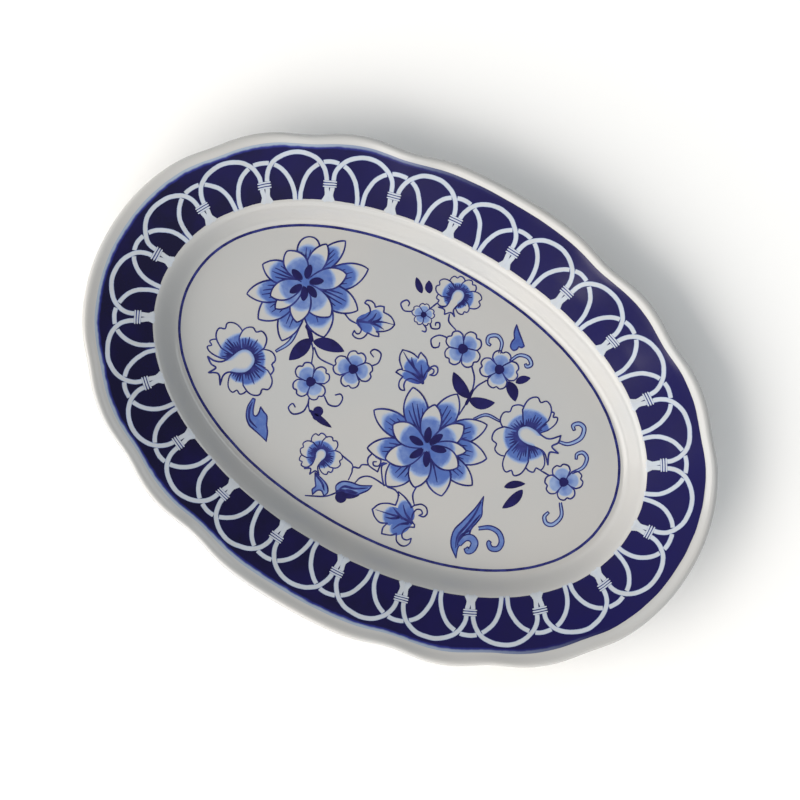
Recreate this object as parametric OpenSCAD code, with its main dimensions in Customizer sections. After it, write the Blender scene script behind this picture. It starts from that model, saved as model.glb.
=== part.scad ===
// Oval china serving platter: a flat well, a sloping shoulder, a broad scalloped rim with a
// rolled lip, and a foot ring. The blue decoration lies on the china as thin colour films.

/* [Platter] */
// Full length over the rim
platter_length = 406; // [400:1:430]
// Full width over the rim
platter_width = 286; // [282:1:300]
// Height of the lip's crest above the table
platter_height = 33; // [31:0.5:37]
// Thickness of the china
wall = 5; // [4:0.25:5.5]
// Straight segments around the rim
around = 132; // [96:12:144]

/* [Rim] */
// Width of the white lip outside the blue border
lip_w = 7.5; // [6:0.5:9]
// Rise of the lip's crest above the sloping rim
lip_rise = 2; // [1:0.25:3]
// Radius of the rounded edge
edge_r = 2.2; // [1.8:0.1:2.4]
// Distance from the edge to the verge, where rim and shoulder meet
rim_w = 42.2; // [39:0.1:43]
// How square the ovals are, where 2 is a plain ellipse
squareness = 2.09; // [2:0.01:2.2]
// Where the notches of the scalloped edge lie in each quarter, in degrees from the long axis
notch_at = [31, 52, 71]; // [20:1:85]
// How deep each of these notches is
notch_depth = [1.5, 2.7, 3.3]; // [0:0.1:4]
// Half-width of a notch, in degrees
notch_soft = 5.5; // [4:0.5:10]
// How far in from the edge the scallops fade away
scallop_reach = 30; // [20:1:40]

/* [Well] */
// Depth of the well below the verge
well_depth = 14; // [11:0.5:16]
// Width of the sloping shoulder between the verge and the well's flat
shoulder_w = 14.6; // [12:0.1:15]
// Height of the foot ring
foot_h = 2.5; // [1.5:0.25:4]
// Width of the foot ring
foot_w = 4.5; // [3:0.25:6]
// Distance from the edge to the outside of the foot ring
foot_inset = 59; // [57:0.5:62]

/* [Decoration] */
// Thickness of a colour film
film = 0.2; // [0.1:0.05:0.3]
// How far the border strip sits off the platter's centre
border_shift = [-0.4, 0.9]; // [-1.5:0.1:1.5]
// How far the line round the well sits off the platter's centre
line_shift = [-1, 0.9]; // [-1.5:0.1:1.5]
// Arches in each of the two interlaced rows
arch_count = 22; // [18:1:26]
// Width of an arch strand
strand_w = 3.1; // [2:0.1:3.5]
// Distance from the edge to the line of ties
tie_inset = 32.4; // [31:0.1:34]
// Height of the front arches above the verge, on the strand's middle
front_apex = 28.2; // [25:0.5:29]
// Height of the back arches above the verge, on the strand's middle
back_apex = 23.2; // [20:0.5:25]
// Length and height of a tie across its two strands
tie_size = [8.4, 4.2]; // [3:0.1:10]
// Gap on each side where a back arch passes behind a front arch
behind_gap = 0.6; // [0.4:0.1:1]
// Start of the first tie from the long axis, in arches
first_tie = 0.04; // [-0.5:0.01:0.5]
// How unevenly the border strip was laid round the rim, in arches
drift = 0.12; // [0:0.01:0.15]
// Where the strip runs furthest ahead, in degrees round the border
drift_at = 43; // [0:1:359]
// Width of the thin line round the well
line_w = 1.1; // [0.6:0.1:1.5]
// Distance from the edge to the middle of that line
line_inset = 58; // [57.8:0.1:60]
// Width of a tendril
tendril_w = 0.9; // [0.6:0.1:1.4]

/* [Hidden] */
half_l = platter_length / 2;
half_w = platter_width / 2;
floor_z = foot_h + wall;
verge_z = floor_z + well_depth;
crest_z = platter_height;
lip_z = crest_z - lip_rise;
rim_slope = (lip_z - verge_z) / (rim_w - lip_w);
floor_inset = rim_w + shoulder_w;
shoulder_steps = 7;
rim_steps = 3;
lip_steps = 3;
edge_steps = 6;
arch_steps = 14;
search_steps = 14;
film_gap = 0.02;
tie_h = rim_w - tie_inset;
foot_spread = 2.1;
open_swell = 2;
blue_swell = 2.6;

// ---- outline of the platter, from the edge inwards ----
function signed_power(v, p) = sign(v) * pow(abs(v), p);
function from_long_axis(t) = acos(abs(cos(t)));
function notch(t, i) = notch_depth[i] * exp(-pow((from_long_axis(t) - notch_at[i]) / notch_soft, 2));
function scallop(t) = notch(t, 0) + notch(t, 1) + notch(t, 2);
function fade(inset) = max(0, 1 - inset / scallop_reach);
function outward(t, inset) =
    let (n = [cos(t) / (half_l - inset), sin(t) / (half_w - inset)])
    n / norm(n);
function plain_oval(t, inset) =
    let (p = 2 / squareness)
    [(half_l - inset) * signed_power(cos(t), p), (half_w - inset) * signed_power(sin(t), p)];
function oval(t, inset) = plain_oval(t, inset) - outward(t, inset) * scallop(t) * fade(inset);

// ---- height of the china's upper face, by distance in from the edge ----
function lip_curve(u) = lip_rise * u * u * (3 - 2 * u)
    + rim_slope * (lip_w - edge_r) * u * (1 - u) * (1 - u);
function shoulder_curve(u) = well_depth * u * u * (3 - 2 * u) - rim_slope * shoulder_w * u * u * (1 - u);
function china_top(inset) =
    inset < lip_w ? lip_z + lip_curve(min(1, (lip_w - inset) / (lip_w - edge_r)))
    : inset < rim_w ? verge_z + (rim_w - inset) * rim_slope
    : inset < floor_inset ? floor_z + shoulder_curve((floor_inset - inset) / shoulder_w)
    : floor_z;
function top_slope(inset) = atan((china_top(inset - 0.1) - china_top(inset + 0.1)) / 0.2);

// ---- distance in from the edge of any point on the china, and the height there ----
function is_outside(p, inset) =
    pow(abs(p[0]) / (half_l - inset), squareness) + pow(abs(p[1]) / (half_w - inset), squareness) > 1;
function plain_inset(p, low = 0, high = 80, steps = search_steps) =
    steps == 0 ? (low + high) / 2
    : is_outside(p, (low + high) / 2) ? plain_inset(p, low, (low + high) / 2, steps - 1)
    : plain_inset(p, (low + high) / 2, high, steps - 1);
function true_inset(p) =
    let (
        first = plain_inset(p),
        t = atan2(p[1] / (half_w - first), p[0] / (half_l - first))
    )
    plain_inset(p + outward(t, first) * scallop(t) * fade(first));
function on_china(p, lift) = [p[0], p[1], china_top(true_inset(p)) + lift];

// ---- cross-section of the body, from the well's edge over the lip and back underneath ----
function under(inset) =
    let (s = top_slope(inset))
    [inset - wall * sin(s), china_top(inset) - wall * cos(s)];
body_section = concat(
    [for (k = [0:shoulder_steps])
        let (inset = floor_inset - k * shoulder_w / shoulder_steps)
        [inset, china_top(inset)]],
    [for (k = [1:rim_steps])
        let (inset = rim_w - k * (rim_w - lip_w) / rim_steps)
        [inset, china_top(inset)]],
    [for (k = [1:lip_steps - 1])
        let (inset = lip_w - k * (lip_w - edge_r) / lip_steps)
        [inset, china_top(inset)]],
    [for (k = [0:edge_steps])
        let (a = 90 + 180 * k / edge_steps)
        [edge_r + edge_r * cos(a), crest_z - edge_r + edge_r * sin(a)]],
    [for (k = [0:rim_steps - 1]) under(lip_w + 3 + k * (rim_w - 2 - lip_w) / rim_steps)],
    [for (k = [0:shoulder_steps]) under(rim_w + 1 + k * (shoulder_w - 1) / shoulder_steps)]
);

// ---- solids through rings of points ----
function ring_faces(rings, n) = [
    for (j = [0:rings - 2], k = [0:n - 1], half = [0:1])
        let (a = j * n + k, b = a + n, c = (j + 1) * n + (k + 1) % n, d = j * n + (k + 1) % n)
        half == 0 ? [a, d, c] : [a, c, b]
];
module ring_solid(rings) {
    n = len(rings[0]);
    last = (len(rings) - 1) * n;
    first_cap = [[for (k = [n - 1:-1:0]) k]];
    last_cap = [[for (k = [0:n - 1]) last + k]];
    points = [for (ring = rings, p = ring) p];
    polyhedron(points, concat(ring_faces(len(rings), n), first_cap, last_cap), convexity = 6);
}
module ring_band(rings) {
    n = len(rings[0]);
    points = [for (ring = concat(rings, [rings[0]])) each ring];
    wrapped = [for (f = ring_faces(len(rings) + 1, n)) [for (v = f) v % (len(rings) * n)]];
    polyhedron([for (i = [0:len(rings) * n - 1]) points[i]], wrapped, convexity = 6);
}
angles = [for (k = [0:around - 1]) 360 * k / around];

// ---- places on the border, as arches along it and millimetres above the verge ----
function walk(t) = plain_oval(t, tie_inset);
lengths = [
    for (t = 0, run = 0; t <= 360; run = run + norm(walk(t + 1) - walk(t)), t = t + 1) [run, t]
];
lap = lengths[360][0];
pitch = lap / arch_count;
function laid(s) = s + first_tie + drift * cos(360 * s / arch_count - drift_at);
function wrap(s) = s - arch_count * floor(s / arch_count);
function border_angle(s) = lookup(wrap(laid(s)) * pitch, lengths);
function on_border(s, h) =
    let (t = border_angle(s))
    walk(t) + outward(t, tie_inset) * (h - tie_h) + border_shift;

// A flat strand through points in plan, draped over the china.
module draped_strand(path, w, low, high) {
    n = len(path);
    side = [
        for (i = [0:n - 1])
            let (d = path[min(i + 1, n - 1)] - path[max(i - 1, 0)])
            [-d[1], d[0]] / norm(d) * w / 2
    ];
    rings = [
        for (i = [0:n - 1]) [
            on_china(path[i] - side[i], low), on_china(path[i] - side[i], high),
            on_china(path[i] + side[i], high), on_china(path[i] + side[i], low)
        ]
    ];
    ring_solid(rings);
}

// ---- the two rows of arches ----
front_foot = tie_h + tie_size[1] / 2;
front_half = 0.5 - foot_spread / pitch;
back_half = 0.5 - (strand_w / 2 + 0.35) / (pitch * 0.94);
function front_point(k, a) = [k + 0.5 - front_half * cos(a), front_foot + (front_apex - front_foot) * sin(a)];
function back_point(k, a) = [k - back_half * cos(a), back_apex * sin(a)];
// Above 1 where a point of a back arch lies outside the front arch to its right.
function past_front(a) =
    let (p = back_point(0, a))
    pow((p[0] - 0.5) / front_half, 2)
    + signed_power((p[1] - front_foot) / (front_apex - front_foot), 2);
function crossing(low = 90, high = 180, steps = search_steps) =
    steps == 0 ? (low + high) / 2
    : past_front((low + high) / 2) > 1 ? crossing((low + high) / 2, high, steps - 1)
    : crossing(low, (low + high) / 2, steps - 1);
cross_at = crossing();
cross_half = (strand_w / 2 + behind_gap) / back_apex * 180 / PI;
function stretch(a0, a1, steps) = [for (i = [0:steps]) a0 + (a1 - a0) * i / steps];
back_stretches = [
    stretch(0, 180 - cross_at - cross_half, 4),
    stretch(180 - cross_at + cross_half, cross_at - cross_half, 7),
    stretch(cross_at + cross_half, 180, 4)
];

// ---- flat films on the well ----
module film_on_well(layer = 0) {
    translate([0, 0, floor_z + film_gap + layer * (film + film_gap)])
        linear_extrude(film)
            children();
}
// Half-width of a leaf or petal along its length, 1 at its widest.
function blade(u, base, tip) =
    let (widest = base / (base + tip))
    pow(u / widest, base) * pow((1 - u) / (1 - widest), tip);
module blade_shape(base_at, tip_at, w, base = 0.6, tip = 0.75, bend = 0, steps = 10) {
    along = tip_at - base_at;
    across = [-along[1], along[0]] / norm(along);
    function spine(u) = base_at + along * u + across * bend * 4 * u * (1 - u);
    function half_width(u) = blade(u, base, tip) * w / 2;
    polygon(concat(
        [base_at],
        [for (i = [1:steps - 1]) spine(i / steps) - across * half_width(i / steps)],
        [tip_at],
        [for (i = [steps - 1:-1:1]) spine(i / steps) + across * half_width(i / steps)]
    ));
}
function polar(r, a) = [r * cos(a), r * sin(a)];
// A petal is [direction, length, width].
module pointed_petals(centre, petals) {
    for (p = petals) {
        blade_shape(centre + polar(2, p[0]), centre + polar(p[1], p[0]), p[2], 0.75, 0.6);
    }
}
// A round petal with a small notch in its end.
module round_petal(centre, p, steps = 16) {
    notch_share = 0.1;
    end = p[1];
    points = [
        for (i = [0:steps])
            let (
                a = 180 * i / steps - 90,
                r = 1 - notch_share * exp(-pow(a / 14, 2)),
                along = end * (0.6 + 0.4 * cos(a) * r),
                side = p[2] / 2 * sin(a)
            )
            [along, side]
    ];
    translate(centre)
        rotate(p[0])
            polygon(concat([[0, -p[2] * 0.12]], points, [[0, p[2] * 0.12]]));
}

// ---- the flowers: where each is, and its petals as [direction, length, width] ----
left_at = [-85.5, 33];
left_outer = [
    [113, 28, 14], [76, 34, 12], [42, 39, 16], [2, 36, 15], [-40, 35, 17],
    [-82, 38, 15], [-111, 36, 16], [-139, 35, 14], [-173, 28, 14]
];
left_inner = [
    [91, 26, 11], [41, 25, 12], [-22, 26, 14], [-72, 25, 12], [-108, 23, 9], [-130, 23, 11], [152, 21, 13]
];
left_seeds = [103, 35, -24, -66, -117, 165];
right_at = [28.3, -16.6];
right_outer = [
    [90, 37, 15], [52, 39, 14], [19, 37, 15], [-10, 36, 13], [-46, 31, 15],
    [-106, 34, 16], [-148, 36, 14], [175, 39, 14], [132, 37, 14]
];
right_inner = [
    [109, 26, 12], [63, 26, 12], [24, 24, 8], [-2, 22, 12], [-74, 25, 13], [-133, 26, 13], [175, 24, 12]
];
right_seeds = [113, 68, 18, -62, -118, 178];
// A trumpet bloom is [centre, head width, end of the neck, tips of the mouth, petals].
trumpets = [
    [[-93.5, -25.5], 13, [-103.5, -36], [[-114, -36], [-109, -43.5], [-99.5, -46.5]],
        [[97, 20, 15.5], [152, 24, 16], [186, 24, 9], [20, 18, 16], [-29, 22.5, 17], [-74, 21, 12]]],
    [[77, 20], 10, [91, 20], [[95.5, 30], [99, 20.5], [97.5, 11]],
        [[97, 24, 16], [65, 21.5, 8.5], [155, 19, 17], [225, 21, 17], [-82, 25.5, 13.5], [-44, 22.5, 12]]],
    [[-1.5, 72], 6, [-2, 63], [[-7.5, 60.5], [-2.5, 58.5], [3, 60.5]],
        [[120, 12, 9], [68, 12.5, 8.5], [16, 14.5, 10], [-37, 11, 7], [177, 14, 10], [-138, 12.5, 8]]],
    [[-25, -53], 5.5, [-25, -61], [[-29, -65], [-25, -66], [-20, -64]],
        [[126, 13, 9], [79, 12.5, 9], [12, 13, 10], [-36, 12, 7], [185, 12.5, 9.5], [-130, 13, 7.5]]]
];
// A small bloom is [centre, petal count, direction of the first petal, petal length].
smalls = [
    [[-34, 2], 4, 105, 11.5], [[-52.5, -17.5], 4, 60, 11.5], [[-13.5, 52], 5, 112, 7],
    [[17.5, 46], 4, 68, 12], [[43, 46.2], 4, 110, 11.5], [[111, 6.5], 4, 43, 11]
];
// A leaf is [base, tip, width, bend].
dark_blades = [
    [[-62.5, 4], [-44.5, 8.5], 7.5, 0.6], [[-64.5, 3], [-70.5, -12.5], 8.5, 0],
    [[36, 23], [20, 31], 7, 0.8], [[36.5, 22], [50.5, 27.5], 7, -1.5],
    [[51, 42.5], [61, 34.5], 6.5, 0.8], [[55.5, 44.5], [62, 51], 4.5, 0.5],
    [[-21, 63], [-28.5, 69.5], 4, 0.3], [[-17, 65], [-21, 71.5], 4.5, 0.3],
    [[81.5, -14], [91, -6.5], 4.5, 0.7], [[91.5, -11], [87, -26], 6, 0.6],
    [[-46, -32], [-28, -35], 5, -0.8], [[-7, -67], [7, -63], 4.5, -1]
];
dark_drops = [[-39.5, -31, 3], [-1.5, -69.2, 3.2]];
blue_blades = [
    [[44, 61], [38.5, 75], 7.5, -2.2], [[-75.5, -50], [-58.5, -62], 9, -2.5],
    [[-5, -66], [11.5, -54], 7.5, 1.2], [[-10.5, -72.5], [-22, -64.5], 7, -2],
    [[77.5, -66], [73.5, -25.5], 9.5, 2.6]
];
// A curl is [points of its middle line], and is widest in its middle.
blue_curls = [
    [[75, -57], [79, -51.5], [83.5, -52.5], [82.5, -58], [79, -57.5]],
    [[80, -44], [88, -39], [96, -43], [95.5, -49.5], [90, -48]]
];
open_blades = [
    [[-46, 28.5], [-26, 38], 12, -0.8], [[-43, 33], [-37, 44.5], 7.5, 0], [[-42, 29], [-30.5, 27.5], 6, 0],
    [[7, 15.5], [-14, 28], 10.5, -0.6], [[6, 18], [-3.5, 31.5], 7.5, -1], [[5, 16], [-10.5, 13.5], 5, 0],
    [[40, -57], [18, -65.5], 11, -0.6], [[40, -54], [27, -48.5], 6.5, 0.6], [[39, -60], [30.5, -76.5], 8, 0]
];
open_curls = [
    [[-42.5, 34], [-43, 39], [-45.5, 41.5], [-48.5, 41]], [[-46, 28], [-42, 25.5], [-42, 21.5], [-45.5, 20]],
    [[7, 17], [7.5, 23.5], [11, 26.5], [13, 23]], [[6, 15], [-2, 14.5], [-4, 9.5], [-1.5, 6]],
    [[39, -53], [43.5, -49.5], [47.5, -51], [46, -54]], [[41, -60], [40, -70], [45, -74.5], [48, -70.5]]
];
tendril_lines = [
    [[-75, 2], [-75.5, -5], [-80, -12]],
    [[-72, 11], [-67, 6], [-61, 0], [-57.5, -8]],
    [[-61, 1.5], [-55, -2.5], [-45, -2]],
    [[-56, 29], [-51, 27], [-46, 27]],
    [[-25.5, 9], [-22.7, 13], [-24, 18.5], [-28.5, 19], [-30, 16.2], [-27, 14.6]],
    [[-41, -21], [-36, -24], [-31, -22], [-30.5, -17], [-33, -15], [-35.5, -17]],
    [[-49, -25], [-47, -30], [-44, -34]],
    [[-47.3, -29], [-47.5, -35.5], [-52, -39.8], [-56.3, -38], [-55.5, -34.5], [-53, -35.5]],
    [[-20, 50.5], [-25, 48.3], [-28.8, 51], [-27, 54.5], [-24.5, 54], [-24.2, 52]],
    [[-8, 50], [-5, 47.4], [-1.3, 49.5], [-2.5, 52.4], [-4.5, 51.5], [-4, 50]],
    [[-10, 62], [-12, 57]],
    [[0, 60], [2, 56], [8, 53.8]],
    [[6.5, 47.2], [1, 46], [-2, 41.5], [1, 37.8], [4, 39.5], [3.5, 42.2]],
    [[27, 40], [32.5, 34], [35.3, 26], [35.8, 19], [35.5, 10]],
    [[39.5, 36.5], [36.5, 31], [35.5, 25]],
    [[38, 55], [36.2, 61.5], [31.5, 63.8], [27, 60.5], [28.2, 56.5], [31.5, 56.2]],
    [[46, 54], [49, 60], [54.5, 61.6], [59, 58.5], [56.5, 55.5], [54.5, 57.5]],
    [[45, 13.5], [50, 18.5], [59, 19.3]],
    [[96.5, 26.3], [102, 28], [106.8, 35], [105.5, 41], [101, 42.3], [98.3, 39], [100.5, 37]],
    [[95.5, 5.6], [104, 5.6]],
    [[112.5, 14], [117, 20], [116.5, 26.5], [112, 28.3], [109.2, 25], [111, 22]],
    [[116, -5], [120.3, -12], [118.5, -19], [114, -21], [111.2, -17.5], [112.5, -13.5]],
    [[35, -40], [35.5, -46], [39, -51.5]],
    [[18, -49.5], [8, -49.3], [3, -52.5], [1.5, -57]],
    [[18, -50], [24.5, -48.8], [29, -52], [30.5, -57]],
    [[2, -36.5], [1, -41], [-1, -46], [-4.5, -49.5], [-3, -56.5]],
    [[9.5, -37], [9.5, -42], [4, -44]],
    [[-17, -46.5], [-10, -47], [-5, -50]],
    [[-4.5, -68], [-11, -74.5], [-20.5, -79]]
];

// ---- smooth lines through a few points ----
function bend_through(p0, p1, p2, p3, u) =
    0.5 * (2 * p1 + (p2 - p0) * u + (2 * p0 - 5 * p1 + 4 * p2 - p3) * u * u
    + (3 * p1 - p0 - 3 * p2 + p3) * u * u * u);
function smooth(points, steps = 4) =
    let (
        n = len(points) - 1,
        lead = 2 * points[0] - points[1],
        trail = 2 * points[n] - points[n - 1],
        q = concat([lead], points, [trail])
    )
    concat(
        [for (i = [0:n - 1], k = [0:steps - 1]) bend_through(q[i], q[i + 1], q[i + 2], q[i + 3], k / steps)],
        [points[n]]
    );
// swell is the width added in the middle of the line.
module line_shape(points, w, swell = 0) {
    line = smooth(points);
    n = len(line) - 1;
    side = [
        for (i = [0:n])
            let (d = line[min(i + 1, n)] - line[max(i - 1, 0)])
            [-d[1], d[0]] / norm(d) * (w + swell * sin(180 * i / n)) / 2
    ];
    polygon(concat([for (i = [0:n]) line[i] - side[i]], [for (i = [n:-1:0]) line[i] + side[i]]));
}

module china_body() {
    color("Gainsboro")
        ring_solid([for (s = body_section) [for (t = angles) let (p = oval(t, s[0])) [p[0], p[1], s[1]]]]);
}
module foot_ring() {
    color("Tan")
        linear_extrude(foot_h)
            difference() {
                polygon([for (t = angles) plain_oval(t, foot_inset)]);
                polygon([for (t = angles) plain_oval(t, foot_inset + foot_w)]);
            }
}
module border_ground() {
    rows = 3;
    insets = [for (k = [0:rows]) rim_w - k * (rim_w - lip_w) / rows];
    function border_ring(inset, lift) = [for (t = angles) on_china(oval(t, inset) + border_shift, lift)];
    color("MidnightBlue")
        ring_band(concat(
            [for (k = [0:rows]) border_ring(insets[k], film_gap + film)],
            [for (k = [rows:-1:0]) border_ring(insets[k], film_gap)]
        ));
}
module back_arches() {
    color("LightSteelBlue")
        for (k = [0:arch_count - 1], part = back_stretches) {
            path = [for (a = part) let (p = back_point(k, a)) on_border(p[0], p[1])];
            draped_strand(path, strand_w, film + 2 * film_gap, 2 * film);
        }
}
module front_arches() {
    color("AliceBlue")
        for (k = [0:arch_count - 1]) {
            path = [for (a = stretch(0, 180, arch_steps)) let (p = front_point(k, a)) on_border(p[0], p[1])];
            draped_strand(path, strand_w, film + 2 * film_gap, 2 * film);
        }
}
// Three bars across each pair of strands, and the pair spreading below them to the verge.
module arch_ties() {
    bar_h = tie_size[1] / 4;
    half_s = tie_size[0] / 2 / pitch;
    spread = [foot_spread * 0.9, foot_spread * 1.7] / pitch;
    color("White")
        for (k = [0:arch_count - 1]) {
            for (bar = [-1:1]) {
                h = tie_h + bar * (tie_size[1] - bar_h) / 2;
                draped_strand([on_border(k - half_s, h), on_border(k + half_s, h)], bar_h, 2 * film, 3 * film);
            }
            for (side = [-1, 1]) {
                top = on_border(k + side * spread[0], tie_h - tie_size[1] / 2);
                foot = on_border(k + side * spread[1], 0);
                draped_strand([top, foot], strand_w * 0.8, film + 2 * film_gap, 2 * film);
            }
        }
}
module well_line() {
    color("MediumBlue")
        film_on_well()
            translate(line_shift)
                difference() {
                    polygon([for (t = angles) plain_oval(t, line_inset - line_w / 2)]);
                    polygon([for (t = angles) plain_oval(t, line_inset + line_w / 2)]);
                }
}
module left_bloom() {
    color("CornflowerBlue")
        film_on_well() {
            pointed_petals(left_at, left_outer);
            pointed_petals(left_at, left_inner);
        }
}
module right_bloom() {
    color("RoyalBlue")
        film_on_well() {
            pointed_petals(right_at, right_outer);
            pointed_petals(right_at, right_inner);
        }
}
module bloom_seeds() {
    color("Navy")
        film_on_well(1) {
            for (a = left_seeds) {
                blade_shape(left_at + polar(2.5, a), left_at + polar(11, a), 4.2);
            }
            for (a = right_seeds) {
                blade_shape(right_at + polar(2.5, a), right_at + polar(12, a), 4.6);
            }
        }
}
module trumpet_blooms() {
    color("SteelBlue")
        film_on_well()
            for (bloom = trumpets) {
                for (p = bloom[4]) {
                    round_petal(bloom[0], p);
                }
                neck = bloom[2];
                back = (bloom[0] - neck) / norm(bloom[0] - neck) * bloom[1] / 2;
                blade_shape(bloom[0] + back, neck - back / 2, bloom[1], 0.5, 0.9);
                for (tip = bloom[3]) {
                    blade_shape(neck + back, tip, bloom[1] * 0.35);
                }
            }
}
module small_blooms() {
    color("DodgerBlue")
        film_on_well()
            for (bloom = smalls, k = [0:bloom[1] - 1]) {
                round_petal(bloom[0], [bloom[2] - k * 360 / bloom[1], bloom[3], bloom[3] * 0.85]);
            }
}
module bloom_eyes() {
    color("DarkBlue")
        film_on_well(1)
            for (bloom = smalls) {
                translate(bloom[0])
                    circle(r = bloom[3] * 0.24, $fn = 24);
            }
}
module open_leaves() {
    color("LightBlue")
        film_on_well() {
            for (leaf = open_blades) {
                blade_shape(leaf[0], leaf[1], leaf[2], 0.7, 0.75, leaf[3]);
            }
            for (curl = open_curls) {
                line_shape(curl, tendril_w, open_swell);
            }
        }
}
module blue_leaves() {
    color("SlateBlue")
        film_on_well() {
            for (leaf = blue_blades) {
                blade_shape(leaf[0], leaf[1], leaf[2], 0.6, 0.8, leaf[3]);
            }
            for (curl = blue_curls) {
                line_shape(curl, tendril_w, blue_swell);
            }
        }
}
module dark_leaves() {
    color("Indigo")
        film_on_well() {
            for (leaf = dark_blades) {
                blade_shape(leaf[0], leaf[1], leaf[2], 0.6, 0.75, leaf[3]);
            }
            for (drop = dark_drops) {
                translate([drop[0], drop[1]])
                    circle(r = drop[2], $fn = 24);
            }
        }
}
module tendrils() {
    color("Blue")
        film_on_well()
            for (line = tendril_lines) {
                line_shape(line, tendril_w);
            }
}

china_body();
foot_ring();
border_ground();
back_arches();
front_arches();
arch_ties();
well_line();
left_bloom();
right_bloom();
bloom_seeds();
trumpet_blooms();
small_blooms();
bloom_eyes();
open_leaves();
blue_leaves();
dark_leaves();
tendrils();
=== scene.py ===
import math
import random
import bpy
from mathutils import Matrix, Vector
from mathutils.geometry import tessellate_polygon


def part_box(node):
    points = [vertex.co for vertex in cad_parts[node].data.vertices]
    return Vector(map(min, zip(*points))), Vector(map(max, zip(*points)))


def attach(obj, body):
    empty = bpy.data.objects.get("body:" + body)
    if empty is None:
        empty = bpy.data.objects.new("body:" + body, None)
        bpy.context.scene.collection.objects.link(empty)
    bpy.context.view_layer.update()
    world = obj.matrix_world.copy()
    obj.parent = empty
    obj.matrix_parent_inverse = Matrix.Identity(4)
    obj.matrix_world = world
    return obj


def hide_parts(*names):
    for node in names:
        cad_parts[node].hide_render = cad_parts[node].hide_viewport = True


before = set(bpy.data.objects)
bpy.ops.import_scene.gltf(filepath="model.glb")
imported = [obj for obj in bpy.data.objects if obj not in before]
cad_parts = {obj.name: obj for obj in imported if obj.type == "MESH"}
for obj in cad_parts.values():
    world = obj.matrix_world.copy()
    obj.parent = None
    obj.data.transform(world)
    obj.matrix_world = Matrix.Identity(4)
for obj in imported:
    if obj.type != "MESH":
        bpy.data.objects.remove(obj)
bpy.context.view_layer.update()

mm = 0.001
degree = math.pi / 180

# The whole platter, in millimetres. Its outside comes from the CAD body.
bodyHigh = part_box("china_body")[1]
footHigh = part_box("foot_ring")[1]
platter = {
    "halfLength": bodyHigh.x / mm - 0.01,
    "halfWidth": bodyHigh.y / mm - 0.01,
    "crest": bodyHigh.z / mm - 0.01,
    "squareness": 2.09,
    "notchAngles": (31, 52, 71),  # degrees from the long axis
    "notchDepths": (1.5, 2.7, 3.3),
    "notchSoftness": 5.5,
    "scallopReach": 30,  # the scallops fade out this far in from the edge
    "lipWidth": 7.5,
    "lipRise": 2,
    "edgeRadius": 2.2,
    "rimWidth": 42.2,  # from the edge to the verge
    "shoulderWidth": 14.6,
    "wellDepth": 14,
    "wall": 5,
    "footHeight": footHigh.z / mm,
    "around": 360,
}


# Small helpers for node trees.
def addNode(tree, kind, inputs=None, **settings):
    node = tree.nodes.new(kind)
    for name, value in settings.items():
        setattr(node, name, value)
    for key, value in (inputs or {}).items():
        if isinstance(value, bpy.types.NodeSocket):
            tree.links.new(value, node.inputs[key])
        else:
            node.inputs[key].default_value = value
    return node


def calc(tree, operation, *values):
    return addNode(tree, "ShaderNodeMath", dict(enumerate(values)), operation=operation).outputs[0]


def calcVector(tree, operation, *values, output="Vector"):
    node = addNode(tree, "ShaderNodeVectorMath", operation=operation)
    for key, value in enumerate(values):
        socket = node.inputs["Scale"] if operation == "SCALE" and key == 1 else node.inputs[key]
        if isinstance(value, bpy.types.NodeSocket):
            tree.links.new(value, socket)
        else:
            socket.default_value = value
    return node.outputs[output]


def combine(tree, x=0.0, y=0.0, z=0.0):
    return addNode(tree, "ShaderNodeCombineXYZ", {"X": x, "Y": y, "Z": z}).outputs[0]


def separate(tree, vector):
    return addNode(tree, "ShaderNodeSeparateXYZ", {"Vector": vector}).outputs


def newTree(name, inputs, outputs):
    tree = bpy.data.node_groups.new(name, "GeometryNodeTree")
    for label, kind in inputs.items():
        tree.interface.new_socket(label, in_out="INPUT", socket_type="NodeSocket" + kind)
    for label, kind in outputs.items():
        tree.interface.new_socket(label, in_out="OUTPUT", socket_type="NodeSocket" + kind)
    return tree, tree.nodes.new("NodeGroupInput").outputs, tree.nodes.new("NodeGroupOutput")


def useGroup(tree, group, inputs):
    node = tree.nodes.new("GeometryNodeGroup")
    node.node_tree = group
    for label, value in inputs.items():
        if isinstance(value, bpy.types.NodeSocket):
            tree.links.new(value, node.inputs[label])
        else:
            node.inputs[label].default_value = value
    return node.outputs


def runTree(piece, tree, values):
    modifier = piece.modifiers.new(tree.name, "NODES")
    modifier.node_group = tree
    for item in tree.interface.items_tree:
        if item.item_type == "SOCKET" and item.in_out == "INPUT" and item.name in values:
            modifier[item.identifier] = values[item.name]
    evaluated = piece.evaluated_get(bpy.context.evaluated_depsgraph_get())
    mesh = bpy.data.meshes.new_from_object(evaluated)
    piece.modifiers.remove(modifier)
    piece.data = mesh
    mesh.name = piece.name
    return piece


def newPiece(name, points, edges=(), faces=(), values=None):
    mesh = bpy.data.meshes.new(name)
    mesh.from_pydata(points, edges, faces)
    for label, numbers in (values or {}).items():
        mesh.attributes.new(label, "FLOAT", "POINT").data.foreach_set("value", numbers)
    piece = bpy.data.objects.new(name, mesh)
    bpy.context.scene.collection.objects.link(piece)
    return piece


def keepPiece(piece, slot, *nodes):
    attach(piece, "root")
    if nodes:
        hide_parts(*nodes)
    print("made", piece.name, len(piece.data.polygons), "faces")


# The platter's ovals.
ovalInputs = {"Half Length": "Float", "Half Width": "Float", "Squareness": "Float"}
ovalValues = {
    "Half Length": platter["halfLength"] * mm,
    "Half Width": platter["halfWidth"] * mm,
    "Squareness": platter["squareness"],
}


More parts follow.
